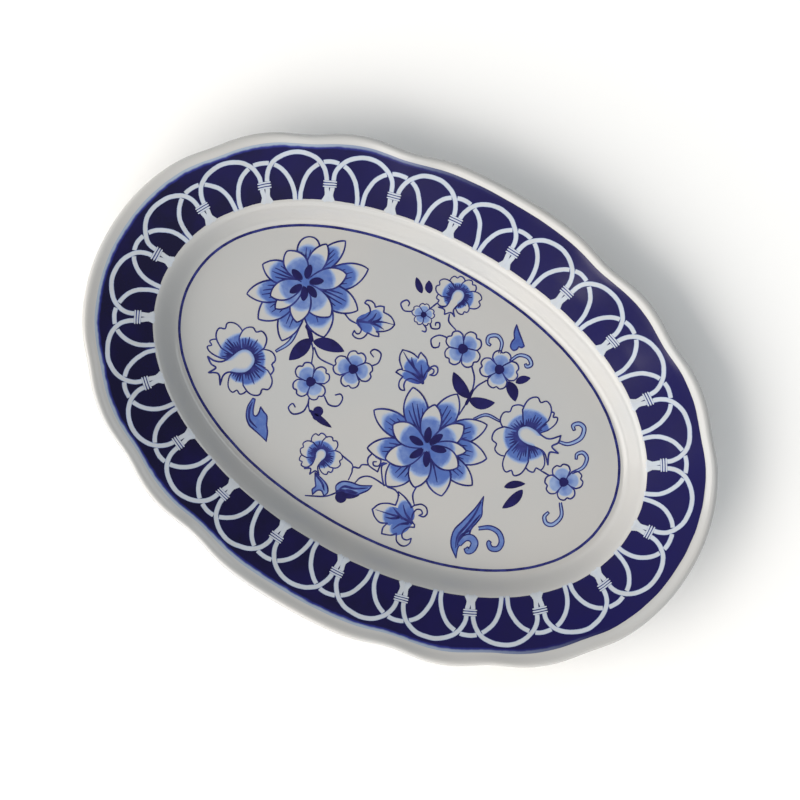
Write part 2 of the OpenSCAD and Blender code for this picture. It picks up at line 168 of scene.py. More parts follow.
# A point of the oval that lies a given inset from the edge, and the way out from it.
def buildOvalGroup():
    tree, given, result = newTree(
        "Point On Oval",
        {"Angle": "Float", "Inset": "Float", **ovalInputs},
        {"Position": "Vector", "Outward": "Vector"},
    )
    power = calc(tree, "DIVIDE", 2.0, given["Squareness"])
    along, out = [], []
    for half, function in (("Half Length", "COSINE"), ("Half Width", "SINE")):
        reach = calc(tree, "SUBTRACT", given[half], given["Inset"])
        turn = calc(tree, function, given["Angle"])
        size = calc(tree, "POWER", calc(tree, "ABSOLUTE", turn), power)
        along.append(calc(tree, "MULTIPLY", calc(tree, "MULTIPLY", size, calc(tree, "SIGN", turn)), reach))
        out.append(calc(tree, "DIVIDE", turn, reach))
    tree.links.new(combine(tree, *along), result.inputs["Position"])
    tree.links.new(calcVector(tree, "NORMALIZE", combine(tree, *out)), result.inputs["Outward"])
    return tree


# How far the scalloped edge is drawn in at an angle: a soft notch at three places in each quarter.
def buildScallopGroup():
    tree, given, result = newTree(
        "Scallop",
        {"Angle": "Float", "Notch Angles": "Vector", "Notch Depths": "Vector", "Notch Softness": "Float"},
        {"Depth": "Float"},
    )
    fromAxis = calc(tree, "ARCCOSINE", calc(tree, "ABSOLUTE", calc(tree, "COSINE", given["Angle"])))
    fromAxis = calc(tree, "DIVIDE", fromAxis, degree)
    places, depths = separate(tree, given["Notch Angles"]), separate(tree, given["Notch Depths"])
    total = 0.0
    for place, depth in zip(places, depths):
        off = calc(tree, "DIVIDE", calc(tree, "SUBTRACT", fromAxis, place), given["Notch Softness"])
        bell = calc(tree, "EXPONENT", calc(tree, "MULTIPLY", calc(tree, "MULTIPLY", off, off), -1.0))
        total = calc(tree, "MULTIPLY_ADD", bell, depth, total)
    tree.links.new(total, result.inputs["Depth"])
    return tree


ovalGroup = buildOvalGroup()
scallopGroup = buildScallopGroup()


# A cross-section swept round the scalloped oval.
# The section's points hold inset in X, a share of the way to the centre in Y, and height in Z.
def buildSweepTree():
    tree, given, result = newTree(
        "Sweep Round The Platter",
        {
            "Geometry": "Geometry", **ovalInputs, "Around": "Int", "Notch Angles": "Vector",
            "Notch Depths": "Vector", "Notch Softness": "Float", "Scallop Reach": "Float",
            "Shift": "Vector", "Wobble": "Float", "Wobble Seed": "Float", "Material": "Material",
        },
        {"Geometry": "Geometry"},
    )
    count = addNode(
        tree, "GeometryNodeAttributeDomainSize", {"Geometry": given["Geometry"]}).outputs["Point Count"]
    rings = calc(tree, "ADD", given["Around"], 1)
    grid = addNode(tree, "GeometryNodeMeshGrid", {"Vertices X": rings, "Vertices Y": count}).outputs["Mesh"]
    index = addNode(tree, "GeometryNodeInputIndex").outputs[0]
    ring = calc(tree, "FLOOR", calc(tree, "DIVIDE", calc(tree, "ADD", index, 0.5), count))
    station = calc(tree, "SUBTRACT", index, calc(tree, "MULTIPLY", ring, count))
    angle = calc(tree, "MULTIPLY", calc(tree, "DIVIDE", ring, given["Around"]), 2 * math.pi)
    section = addNode(
        tree, "GeometryNodeSampleIndex",
        {"Geometry": given["Geometry"], "Index": station}, data_type="FLOAT_VECTOR", clamp=True,
    )
    tree.links.new(addNode(tree, "GeometryNodeInputPosition").outputs[0], section.inputs["Value"])
    inset, inward, height = separate(tree, section.outputs[0])
    circle = combine(tree, calc(tree, "COSINE", angle), calc(tree, "SINE", angle))
    circle = calcVector(tree, "SCALE", circle, 9.0)
    noise = addNode(
        tree, "ShaderNodeTexNoise",
        {"Vector": circle, "W": given["Wobble Seed"], "Scale": 1.0, "Detail": 3.0}, noise_dimensions="4D",
    ).outputs[0]
    inset = calc(tree, "MULTIPLY_ADD", calc(tree, "SUBTRACT", noise, 0.5), given["Wobble"], inset)
    point = useGroup(
        tree, ovalGroup,
        {"Angle": angle, "Inset": inset, **{name: given[name] for name in ovalInputs}},
    )
    depth = useGroup(
        tree, scallopGroup,
        {
            "Angle": angle,
            **{name: given[name] for name in ("Notch Angles", "Notch Depths", "Notch Softness")},
        },
    )["Depth"]
    fade = calc(tree, "SUBTRACT", 1.0, calc(tree, "DIVIDE", inset, given["Scallop Reach"]))
    drawnIn = calc(tree, "MULTIPLY", depth, calc(tree, "MAXIMUM", fade, 0.0))
    place = calcVector(
        tree, "SUBTRACT", point["Position"], calcVector(tree, "SCALE", point["Outward"], drawnIn))
    place = calcVector(tree, "SCALE", place, calc(tree, "SUBTRACT", 1.0, inward))
    raised = calcVector(tree, "ADD", combine(tree, 0.0, 0.0, height), given["Shift"])
    place = calcVector(tree, "ADD", place, raised)
    around = calc(tree, "DIVIDE", station, calc(tree, "SUBTRACT", count, 1))
    shaped = addNode(tree, "GeometryNodeSetPosition", {"Geometry": grid, "Position": place}).outputs[0]
    shaped = addNode(
        tree, "GeometryNodeStoreNamedAttribute",
        {"Geometry": shaped, "Name": "across", "Value": around}, data_type="FLOAT", domain="POINT",
    ).outputs[0]
    closed = addNode(
        tree, "GeometryNodeMergeByDistance", {"Geometry": shaped, "Distance": 0.002 * mm}).outputs[0]
    facing = addNode(tree, "GeometryNodeFlipFaces", {"Mesh": closed}).outputs[0]
    smooth = addNode(tree, "GeometryNodeSetShadeSmooth", {"Geometry": facing}).outputs[0]
    real = addNode(tree, "GeometryNodeRealizeInstances", {"Geometry": smooth}).outputs[0]
    finished = addNode(tree, "GeometryNodeSetMaterial", {"Geometry": real, "Material": given["Material"]})
    tree.links.new(finished.outputs[0], result.inputs[0])
    return tree


# Colour laid on the china.
# Flat shapes are dropped onto the china: their height says how far above it they lie.
def buildFilmGroup():
    tree, given, result = newTree(
        "Film On The China",
        {"Geometry": "Geometry", "China": "Object", "Film": "Float"},
        {"Geometry": "Geometry"},
    )
    china = addNode(tree, "GeometryNodeObjectInfo", {"Object": given["China"]}, transform_space="RELATIVE")
    x, y, lift = separate(tree, addNode(tree, "GeometryNodeInputPosition").outputs[0])
    ray = addNode(
        tree, "GeometryNodeRaycast",
        {
            "Target Geometry": china.outputs["Geometry"], "Source Position": combine(tree, x, y, 0.2),
            "Ray Direction": (0.0, 0.0, -1.0), "Ray Length": 0.4,
        },
    )
    rise = combine(tree, 0.0, 0.0, calc(tree, "SUBTRACT", lift, given["Film"]))
    place = calcVector(tree, "ADD", ray.outputs["Hit Position"], rise)
    under = addNode(
        tree, "GeometryNodeSetPosition", {"Geometry": given["Geometry"], "Position": place}).outputs[0]
    raised = addNode(
        tree, "GeometryNodeExtrudeMesh",
        {"Mesh": under, "Offset": (0.0, 0.0, 1.0), "Offset Scale": given["Film"], "Individual": False},
        mode="FACES",
    ).outputs["Mesh"]
    join = addNode(tree, "GeometryNodeJoinGeometry")
    tree.links.new(addNode(tree, "GeometryNodeFlipFaces", {"Mesh": under}).outputs[0], join.inputs[0])
    tree.links.new(raised, join.inputs[0])
    closed = addNode(
        tree, "GeometryNodeMergeByDistance", {"Geometry": join.outputs[0], "Distance": 0.001 * mm}).outputs[0]
    smooth = addNode(tree, "GeometryNodeSetShadeSmooth", {"Geometry": closed}).outputs[0]
    turn = addNode(tree, "GeometryNodeInputMeshEdgeAngle").outputs["Unsigned Angle"]
    sharp = addNode(
        tree, "GeometryNodeSetShadeSmooth",
        {"Geometry": smooth, "Selection": calc(tree, "GREATER_THAN", turn, 0.6), "Shade Smooth": False},
        domain="EDGE",
    ).outputs[0]
    tree.links.new(sharp, result.inputs[0])
    return tree


filmGroup = buildFilmGroup()


def buildPrintTree():
    tree, given, result = newTree(
        "Lay The Colour",
        {"Geometry": "Geometry", "China": "Object", "Film": "Float", "Material": "Material"},
        {"Geometry": "Geometry"},
    )
    laid = useGroup(tree, filmGroup, {name: given[name] for name in ("Geometry", "China", "Film")})[0]
    real = addNode(tree, "GeometryNodeRealizeInstances", {"Geometry": laid}).outputs[0]
    finished = addNode(tree, "GeometryNodeSetMaterial", {"Geometry": real, "Material": given["Material"]})
    tree.links.new(finished.outputs[0], result.inputs[0])
    return tree


# Strands repeated round the border.
# A path's points hold arches along the border in X, the way up from the verge in Y, and lift in Z.
def buildBorderTree():
    tree, given, result = newTree(
        "Repeat Round The Border",
        {
            "Geometry": "Geometry", **ovalInputs, "Repeats": "Int", "First Tie": "Float", "Drift": "Float",
            "Drift Angle": "Float", "Tie Inset": "Float", "Tie Height": "Float", "Shift": "Vector",
            "Strand Width": "Float", "Step": "Float", "Wobble": "Float", "Round Ends": "Float",
            "China": "Object", "Film": "Float", "Material": "Material",
        },
        {"Geometry": "Geometry"},
    )
    ovalGiven = {name: given[name] for name in ovalInputs}
    starts = addNode(
        tree, "GeometryNodeMeshLine", {"Count": given["Repeats"], "Offset": (1.0, 0.0, 0.0)}, mode="OFFSET",
    ).outputs[0]
    copies = addNode(tree, "GeometryNodeInstanceOnPoints", {"Points": starts, "Instance": given["Geometry"]})
    paths = addNode(tree, "GeometryNodeRealizeInstances", {"Geometry": copies.outputs[0]}).outputs[0]

    # The line of the ties, where each point's number is its angle in degrees.
    index = addNode(tree, "GeometryNodeInputIndex").outputs[0]
    tieLine = addNode(tree, "GeometryNodeMeshLine", {"Count": 361}, mode="OFFSET").outputs[0]
    tiePoint = useGroup(
        tree, ovalGroup,
        {"Angle": calc(tree, "MULTIPLY", index, degree), "Inset": given["Tie Inset"], **ovalGiven})
    tieLine = addNode(
        tree, "GeometryNodeSetPosition", {"Geometry": tieLine, "Position": tiePoint["Position"]}).outputs[0]
    tieCurve = addNode(tree, "GeometryNodeMeshToCurve", {"Mesh": tieLine}).outputs[0]

    arches, high, lift = separate(tree, addNode(tree, "GeometryNodeInputPosition").outputs[0])
    share = calc(tree, "DIVIDE", arches, given["Repeats"])
    turn = calc(tree, "MULTIPLY", share, 2 * math.pi)
    swing = calc(tree, "COSINE", calc(tree, "SUBTRACT", turn, given["Drift Angle"]))
    laid = calc(tree, "ADD", arches, calc(tree, "MULTIPLY_ADD", given["Drift"], swing, given["First Tie"]))
    factor = calc(tree, "FRACT", calc(tree, "DIVIDE", laid, given["Repeats"]))
    sample = addNode(
        tree, "GeometryNodeSampleCurve", {"Curves": tieCurve, "Value": index, "Factor": factor},
        mode="FACTOR", use_all_curves=True,
    )
    angle = calc(tree, "MULTIPLY", sample.outputs["Value"], degree)
    point = useGroup(tree, ovalGroup, {"Angle": angle, "Inset": given["Tie Inset"], **ovalGiven})
    outward = calcVector(
        tree, "SCALE", point["Outward"], calc(tree, "SUBTRACT", high, given["Tie Height"]))
    place = calcVector(tree, "ADD", calcVector(tree, "ADD", point["Position"], outward), given["Shift"])
    unsteady = addNode(
        tree, "ShaderNodeTexNoise", {"Vector": place, "Scale": 70.0, "Detail": 1.0}).outputs["Color"]
    unsteady = calcVector(tree, "SUBTRACT", unsteady, (0.5, 0.5, 0.5))
    unsteady = calcVector(tree, "MULTIPLY", unsteady, combine(tree, given["Wobble"], given["Wobble"]))
    place = calcVector(tree, "ADD", calcVector(tree, "ADD", place, unsteady), combine(tree, 0.0, 0.0, lift))
    bent = addNode(tree, "GeometryNodeSetPosition", {"Geometry": paths, "Position": place}).outputs[0]

    curve = addNode(tree, "GeometryNodeMeshToCurve", {"Mesh": bent}).outputs[0]
    curve = addNode(
        tree, "GeometryNodeResampleCurve",
        {"Curve": curve, "Length": given["Step"]}, mode="LENGTH").outputs[0]
    curve = addNode(tree, "GeometryNodeSetCurveNormal", {"Curve": curve}, mode="Z_UP").outputs[0]
    along = addNode(tree, "GeometryNodeSplineParameter").outputs["Factor"]
    fromEnds = calc(tree, "POWER", calc(tree, "ABSOLUTE", calc(tree, "MULTIPLY_ADD", along, 2.0, -1.0)), 8.0)
    rounding = calc(tree, "SUBTRACT", 1.0, calc(tree, "MULTIPLY", fromEnds, given["Round Ends"]))
    rounding = calc(tree, "MAXIMUM", rounding, 0.3)
    curve = addNode(
        tree, "GeometryNodeSetCurveRadius",
        {"Curve": curve, "Radius": calc(tree, "SQRT", rounding)}).outputs[0]
    half = calc(tree, "DIVIDE", given["Strand Width"], 2.0)
    profile = addNode(
        tree, "GeometryNodeCurvePrimitiveLine",
        {"Start": combine(tree, calc(tree, "MULTIPLY", half, -1.0)), "End": combine(tree, half)}).outputs[0]
    profile = addNode(tree, "GeometryNodeResampleCurve", {"Curve": profile, "Count": 7}).outputs[0]
    profile = addNode(
        tree, "GeometryNodeStoreNamedAttribute",
        {"Geometry": profile, "Name": "across", "Value": calc(tree, "MULTIPLY_ADD", along, 2.0, -1.0)},
        data_type="FLOAT", domain="POINT",
    ).outputs[0]
    ribbon = addNode(tree, "GeometryNodeCurveToMesh", {"Curve": curve, "Profile Curve": profile})
    if "Scale" in ribbon.inputs:
        tree.links.new(calc(tree, "SQRT", rounding), ribbon.inputs["Scale"])
    laidDown = useGroup(
        tree, filmGroup, {"Geometry": ribbon.outputs[0], "China": given["China"], "Film": given["Film"]})[0]
    real = addNode(tree, "GeometryNodeRealizeInstances", {"Geometry": laidDown}).outputs[0]
    finished = addNode(tree, "GeometryNodeSetMaterial", {"Geometry": real, "Material": given["Material"]})
    tree.links.new(finished.outputs[0], result.inputs[0])
    return tree


sweepTree = buildSweepTree()
printTree = buildPrintTree()
borderTree = buildBorderTree()
print("trees ready")

# Glazes and colours.
glaze = {
    "roughness": 0.13,
    "skinScale": 260.0,  # the fine orange peel of the fired glaze, in cells a metre
    "skinDepth": 0.006 * mm,
    "waveScale": 34.0,  # slow swells left by the mould and the dipping
    "waveDepth": 0.05 * mm,
}
colours = {
    "china": (0.425, 0.43, 0.43),
    "chinaWarm": (0.45, 0.443, 0.432),
    "speck": (0.30, 0.24, 0.19),
    "strand": (0.47, 0.51, 0.565),
    "paleBlue": (0.25, 0.335, 0.53),
    "haloAndShade": (0.29, 0.35, 0.44),
    "midBlue": (0.068, 0.125, 0.37),
    "cobalt": (0.026, 0.034, 0.22),
    "lineDark": (0.014, 0.014, 0.10),
    "lineLight": (0.032, 0.040, 0.19),
    "navy": (0.012, 0.010, 0.085),
    "ground": (0.008, 0.006, 0.056),
    "groundDeepAndShaded": (0.006, 0.005, 0.028),
    "groundBrightAndLit": (0.006, 0.0045, 0.07),
    "biscuit": (0.62, 0.55, 0.45),
    "biscuitDark": (0.36, 0.29, 0.22),
}


def rgba(name):
    return (*colours[name], 1.0)


def newMaterial(name):
    material = bpy.data.materials.new(name)
    material.use_nodes = True
    tree = material.node_tree
    shader = tree.nodes["Principled BSDF"]
    position = addNode(tree, "ShaderNodeTexCoord").outputs["Object"]
    return material, tree, shader, position


def noiseAt(tree, position, scale, detail=2.0, roughness=0.5):
    return addNode(
        tree, "ShaderNodeTexNoise",
        {"Vector": position, "Scale": scale, "Detail": detail, "Roughness": roughness}).outputs[0]


def ramp(tree, factor, low, high, start=0.0, end=1.0):
    node = addNode(
        tree, "ShaderNodeMapRange", {0: factor, 1: low, 2: high, 3: start, 4: end},
        interpolation_type="SMOOTHSTEP")
    return node.outputs[0]


def mixColours(tree, factor, first, second):
    node = addNode(tree, "ShaderNodeMix", {"Factor": factor}, data_type="RGBA")
    for key, value in ((6, first), (7, second)):
        if isinstance(value, bpy.types.NodeSocket):
            tree.links.new(value, node.inputs[key])
        else:
            node.inputs[key].default_value = value
    return node.outputs[2]


# Every glazed face has the same skin, so that the colours look as if they lie under it.
def addGlaze(tree, shader, position):
    skin = noiseAt(tree, position, glaze["skinScale"], 2.0)
    wave = noiseAt(tree, position, glaze["waveScale"], 1.0)
    peel = calc(tree, "MULTIPLY", skin, glaze["skinDepth"])
    height = calc(tree, "ADD", peel, calc(tree, "MULTIPLY", wave, glaze["waveDepth"]))
    bump = addNode(tree, "ShaderNodeBump", {"Height": height, "Strength": 1.0, "Distance": 1.0})
    tree.links.new(bump.outputs[0], shader.inputs["Normal"])
    smear = noiseAt(tree, position, 21.0, 3.0)
    rough = ramp(tree, smear, 0.3, 0.75, glaze["roughness"] - 0.02, glaze["roughness"] + 0.05)
    tree.links.new(rough, shader.inputs["Roughness"])
    shader.inputs["IOR"].default_value = 1.5


def chinaColour(tree, position):
    cloud = noiseAt(tree, position, 11.0, 3.0)
    body = mixColours(tree, ramp(tree, cloud, 0.35, 0.7), rgba("china"), rgba("chinaWarm"))
    cells = addNode(tree, "ShaderNodeTexVoronoi", {"Vector": position, "Scale": 95.0})
    rare = calc(tree, "LESS_THAN", addNode(
        tree, "ShaderNodeSeparateColor", {"Color": cells.outputs["Color"]}).outputs[0], 0.035)
    speck = calc(tree, "MULTIPLY", ramp(tree, cells.outputs["Distance"], 0.05, 0.02), rare)
    return mixColours(tree, calc(tree, "MULTIPLY", speck, 0.7), body, rgba("speck"))


def makeChinaGlaze():
    material, tree, shader, position = newMaterial("glazedChina")
    tree.links.new(chinaColour(tree, position), shader.inputs["Base Color"])
    addGlaze(tree, shader, position)
    return material


# Bare fired clay on the foot, with the glaze's ragged edge above it.
def makeFootClay():
    material, tree, shader, position = newMaterial("bareFoot")
    grain = noiseAt(tree, position, 900.0, 4.0, 0.7)
    stain = noiseAt(tree, position, 45.0, 4.0, 0.6)
    clay = mixColours(tree, ramp(tree, stain, 0.45, 0.8, 0.0, 0.7), rgba("biscuit"), rgba("biscuitDark"))
    clay = mixColours(tree, ramp(tree, grain, 0.6, 0.75, 0.0, 0.35), clay, rgba("speck"))
    height = separate(tree, position)[2]
    edge = calc(tree, "MULTIPLY_ADD", calc(tree, "SUBTRACT", stain, 0.5), 1.2 * mm, height)
    glazed = ramp(tree, edge, 1.1 * mm, 1.35 * mm)
    tree.links.new(mixColours(tree, glazed, clay, chinaColour(tree, position)), shader.inputs["Base Color"])
    tree.links.new(ramp(tree, glazed, 0.0, 1.0, 0.85, glaze["roughness"]), shader.inputs["Roughness"])
    grit = calc(tree, "MULTIPLY", grain, 0.05 * mm)
    bump = addNode(tree, "ShaderNodeBump", {"Height": grit, "Distance": 1.0})
    tree.links.new(bump.outputs[0], shader.inputs["Normal"])
    return material


def readAttribute(tree, name):
    return addNode(tree, "ShaderNodeAttribute", attribute_name=name).outputs["Fac"]


# Dense cobalt: cloudy where the brush went over it twice, painted darker towards -X and -Y as painted shade
# and brighter towards +X and +Y as painted light, and bled out pale at its outer edge only on the side of -X
# and -Y, where the bleed is partly painted shade on the lip.
def makeGroundCobalt():
    material, tree, shader, position = newMaterial("groundCobalt")
    along = separate(tree, position)
    # Painted light and shade: the cobalt is made darker towards -X and -Y, where the rim faces away from the
    # key light, and brighter towards +X and +Y, where the rim faces it.
    fade = calc(tree, "MULTIPLY_ADD", along[0], 1.7, calc(tree, "MULTIPLY_ADD", along[1], 1.6, 0.45))
    cloud = calc(tree, "MULTIPLY_ADD", noiseAt(tree, position, 38.0, 4.0, 0.6), 1.1, -0.55)
    cloud = calc(tree, "ADD", fade, cloud)
    colour = mixColours(tree, ramp(tree, cloud, 0.0, 0.5), rgba("groundDeepAndShaded"), rgba("ground"))
    colour = mixColours(tree, ramp(tree, cloud, 0.35, 1.1), colour, rgba("groundBrightAndLit"))
    fromEdge = calc(tree, "SUBTRACT", 1.0, readAttribute(tree, "across"))
    ragged = calc(tree, "MULTIPLY_ADD", noiseAt(tree, position, 160.0, 2.0), -0.03, fromEdge)
    # Painted shade, in part: the pale bleed and its bluish-grey halo are laid only on the side of -X and -Y,
    # where the lip lies in shade; the bleed at the cobalt's edge is its own colour.
    shadedSide = ramp(tree, fade, 0.68, 0.36)
    bled = calc(tree, "MULTIPLY", ramp(tree, ragged, 0.06, 0.025), shadedSide)
    colour = mixColours(tree, bled, colour, rgba("cobalt"))
    pale = calc(tree, "MULTIPLY", ramp(tree, ragged, 0.032, 0.006), shadedSide)
    colour = mixColours(tree, pale, colour, rgba("haloAndShade"))
    tree.links.new(colour, shader.inputs["Base Color"])
    addGlaze(tree, shader, position)
    return material


# White left in the cobalt, with blue bled over its two edges.
def makeStrandWhite(name, blue):
    material, tree, shader, position = newMaterial(name)
    bleed = calc(tree, "ABSOLUTE", readAttribute(tree, "across"))
    ragged = calc(tree, "SUBTRACT", noiseAt(tree, position, 420.0, 3.0), 0.5)
    bleed = calc(tree, "MULTIPLY_ADD", ragged, 0.35, bleed)
    cloud = noiseAt(tree, position, 90.0, 3.0)
    colour = mixColours(tree, ramp(tree, cloud, 0.35, 0.75, 0.0, 0.5), rgba("strand"), rgba("china"))
    colour = mixColours(tree, ramp(tree, bleed, 0.62, 1.0, 0.0, 0.9 * blue), colour, rgba("paleBlue"))
    colour = mixColours(tree, ramp(tree, bleed, 0.9, 1.05, 0.0, 0.85 * blue), colour, rgba("cobalt"))
    tree.links.new(colour, shader.inputs["Base Color"])
    addGlaze(tree, shader, position)
    return material


# A brushed wash: the wash attribute runs from 0, bare china, to 1, dense cobalt.
def makeWashedBlue():
    material, tree, shader, position = newMaterial("washedBlue")
    wash = readAttribute(tree, "wash")
    brush = noiseAt(tree, position, 240.0, 4.0, 0.6)
    pool = noiseAt(tree, position, 70.0, 2.0)
    brushed = calc(tree, "MULTIPLY_ADD", brush, 0.5, -0.25)
    uneven = calc(tree, "ADD", brushed, calc(tree, "MULTIPLY_ADD", pool, 0.6, -0.3))
    strength = calc(tree, "MULTIPLY_ADD", calc(tree, "MULTIPLY", wash, uneven), 1.1, wash)
    colour = mixColours(tree, ramp(tree, strength, 0.02, 0.34), chinaColour(tree, position), rgba("paleBlue"))
    colour = mixColours(tree, ramp(tree, strength, 0.25, 0.62), colour, rgba("midBlue"))
    colour = mixColours(tree, ramp(tree, strength, 0.62, 0.95), colour, rgba("cobalt"))
    tree.links.new(colour, shader.inputs["Base Color"])
    addGlaze(tree, shader, position)
    return material


def makeBrushedBlue(name, first, second, scale):
    material, tree, shader, position = newMaterial(name)
    load = noiseAt(tree, position, scale, 3.0, 0.6)
    tree.links.new(
        mixColours(tree, ramp(tree, load, 0.35, 0.7), rgba(first), rgba(second)), shader.inputs["Base Color"])
    addGlaze(tree, shader, position)
    return material


glazedChina = makeChinaGlaze()
bareFoot = makeFootClay()
groundCobalt = makeGroundCobalt()
strandWhite = makeStrandWhite("strandWhite", 1.0)
stemWhite = makeStrandWhite("stemWhite", 0.15)
washedBlue = makeWashedBlue()
lineBlue = makeBrushedBlue("lineBlue", "lineDark", "lineLight", 150.0)
denseBlue = makeBrushedBlue("denseBlue", "navy", "ground", 110.0)
print("materials ready")


# The china body.
def rimSlope():
    lipHeight = platter["crest"] - platter["lipRise"]
    verge = platter["footHeight"] + platter["wall"] + platter["wellDepth"]
    return (lipHeight - verge) / (platter["rimWidth"] - platter["lipWidth"])


# Height of the china's upper face at an inset from the edge.
def chinaTop(inset):
    floor = platter["footHeight"] + platter["wall"]
    verge = floor + platter["wellDepth"]
    slope = rimSlope()
    lip, edge, rim, shoulder = (platter[k] for k in ("lipWidth", "edgeRadius", "rimWidth", "shoulderWidth"))
    if inset < lip:
        u = min(1, (lip - inset) / (lip - edge))
        rise = platter["lipRise"] * u * u * (3 - 2 * u) + slope * (lip - edge) * u * (1 - u) ** 2
        return platter["crest"] - platter["lipRise"] + rise
    if inset < rim:
        return verge + (rim - inset) * slope
    if inset < rim + shoulder:
        u = (rim + shoulder - inset) / shoulder
        return floor + platter["wellDepth"] * u * u * (3 - 2 * u) - slope * shoulder * u * u * (1 - u)
    return floor


def chinaUnder(inset):
    slope = math.atan((chinaTop(inset - 0.1) - chinaTop(inset + 0.1)) / 0.2)
    wall = platter["wall"]
    return inset - wall * math.sin(slope), chinaTop(inset) - wall * math.cos(slope)


def spread(first, last, steps):
    return [first + (last - first) * k / steps for k in range(steps + 1)]


def bodySection():
    floorInset = platter["rimWidth"] + platter["shoulderWidth"]
    radius = platter["edgeRadius"]
    floor = chinaTop(floorInset)
    points = [(floorInset, inward, floor) for inward in spread(1, 0, 16)]
    insets = spread(floorInset, platter["rimWidth"], 18)[1:]
    insets += spread(platter["rimWidth"], platter["lipWidth"], 14)[1:]
    insets += spread(platter["lipWidth"], radius, 12)[1:]
    points += [(inset, 0, chinaTop(inset)) for inset in insets]
    for turn in spread(90, 270, 14)[1:]:
        points.append((
            radius + radius * math.cos(turn * degree), 0,
            platter["crest"] - radius + radius * math.sin(turn * degree)))
    outside = spread(platter["lipWidth"] + 3, platter["rimWidth"] - 2, 12)
    below = outside + spread(platter["rimWidth"] - 1, floorInset, 18)
    under = [chinaUnder(below[0])]
    for point in map(chinaUnder, below):
        if point[0] > under[-1][0] + 0.3:
            under.append(point)
    for _ in range(4):
        inner = zip(under, under[1:], under[2:])
        under[1:-1] = [tuple((a + 2 * b + c) / 4 for a, b, c in zip(*trio)) for trio in inner]
    points += [(inset, 0, height) for inset, height in under]
    points += [(floorInset, inward, floor - platter["wall"]) for inward in spread(0, 1, 12)[1:]]
    return [(x * mm, y, z * mm) for x, y, z in points]


def sweep(name, section, material, shift=(0, 0), wobble=0.0, scallops=True):
    depths = [depth * mm * scallops for depth in platter["notchDepths"]]
    piece = newPiece(name, section, [(k, k + 1) for k in range(len(section) - 1)])
    return runTree(piece, sweepTree, {
        **ovalValues,
        "Around": platter["around"],
        "Notch Angles": platter["notchAngles"],
        "Notch Depths": depths,
        "Notch Softness": float(platter["notchSoftness"]),
        "Scallop Reach": platter["scallopReach"] * mm,
        "Shift": (shift[0] * mm, shift[1] * mm, 0.0),
        "Wobble": wobble * mm,
        "Wobble Seed": 4.0,
        "Material": material,
    })


chinaBody = sweep("chinaBody", bodySection(), glazedChina)
keepPiece(chinaBody, "glazed_china", "china_body")

# The foot ring: a rounded tread, with soft fillets where it meets the body.
foot = {"inset": 59, "width": 4.5, "fillet": 1.3, "round": 0.9, "sink": 0.3}


def footSection():
    outer, inner = foot["inset"], foot["inset"] + foot["width"]
    top = platter["footHeight"]
    fillet, corner = foot["fillet"], foot["round"]
    side = []
    for turn in spread(90, 0, 5):
        side.append((
            fillet - fillet * math.cos(turn * degree), top - fillet + fillet * math.sin(turn * degree)))
    for turn in spread(180, 270, 5):
        side.append((
            fillet + corner + corner * math.cos(turn * degree), corner + corner * math.sin(turn * degree)))
    outside = [(outer - fillet, top + foot["sink"])] + [(outer - fillet + x, z) for x, z in side]
    inside = [(inner + fillet - x, z) for x, z in reversed(side)] + [(inner + fillet, top + foot["sink"])]
    loop = outside + inside + outside[:1]
    return [(x * mm, 0, z * mm) for x, z in loop]


footRing = sweep("footRing", footSection(), bareFoot, scallops=False)
keepPiece(footRing, "bare_foot", "foot_ring")


# Colour on the china.
film = {"thickness": 0.03, "step": 0.016, "line": 0.006}


def layOnChina(piece, material):
    return runTree(
        piece, printTree, {"China": chinaBody, "Film": film["thickness"] * mm, "Material": material})


borderShift = (-0.4, 0.9)
ground = {"rows": 16, "vergeRows": 7, "lift": 0.03, "wobble": 0.9}
groundInsets = spread(platter["lipWidth"], platter["rimWidth"] - 1.5, ground["rows"])
groundInsets += spread(platter["rimWidth"] - 1.5, platter["rimWidth"], ground["vergeRows"])[1:]
groundSection = [(inset * mm, 0, ground["lift"] * mm) for inset in groundInsets]
borderGround = sweep("borderGround", groundSection[::-1], groundCobalt, borderShift, ground["wobble"])
layOnChina(borderGround, groundCobalt)
keepPiece(borderGround, "cobalt_ground", "border_ground")

# The interlaced arches: widths and heights in millimetres above the verge.
lattice = {
    "arches": 22, "strand": 2.85, "tieInset": 32.4, "frontApex": 28.2, "backApex": 23.2,
    "tieLength": 8.4, "tieHeight": 4.2, "footSpread": 2.1, "behindGap": 0.6,
    "firstTie": 0.04, "drift": 0.12, "driftAngle": 43, "steps": 40, "step": 0.45, "wobble": 1.5, "lap": 0.002,
    "backShare": 0.97, "footDip": -0.7,
}
# How high each layer of the lattice lies above the china.
layers = {"back": 0.06, "stems": 0.07, "front": 0.075, "binding": 0.085, "bars": 0.095, "touches": 0.1}
tieAt = platter["rimWidth"] - lattice["tieInset"]


def tieOval(angle):
    power = 2 / platter["squareness"]
    x, y = math.cos(angle), math.sin(angle)
    return Vector((
        (platter["halfLength"] - lattice["tieInset"]) * math.copysign(abs(x) ** power, x),
        (platter["halfWidth"] - lattice["tieInset"]) * math.copysign(abs(y) ** power, y)))


tieLineLength = sum((tieOval((k + 1) * degree) - tieOval(k * degree)).length for k in range(360))
pitch = tieLineLength / lattice["arches"]
frontFoot = tieAt + lattice["tieHeight"] / 2
frontHalf = 0.5 - lattice["footSpread"] / pitch
backHalf = 0.5 - (lattice["strand"] / 2 + 0.35) / (pitch * 0.94)


def frontPoint(turn):
    rise = (lattice["frontApex"] - frontFoot) * math.sin(turn * degree)
    return 0.5 - frontHalf * math.cos(turn * degree), frontFoot + rise


def backPoint(turn):
    return -backHalf * math.cos(turn * degree), lattice["backApex"] * math.sin(turn * degree)


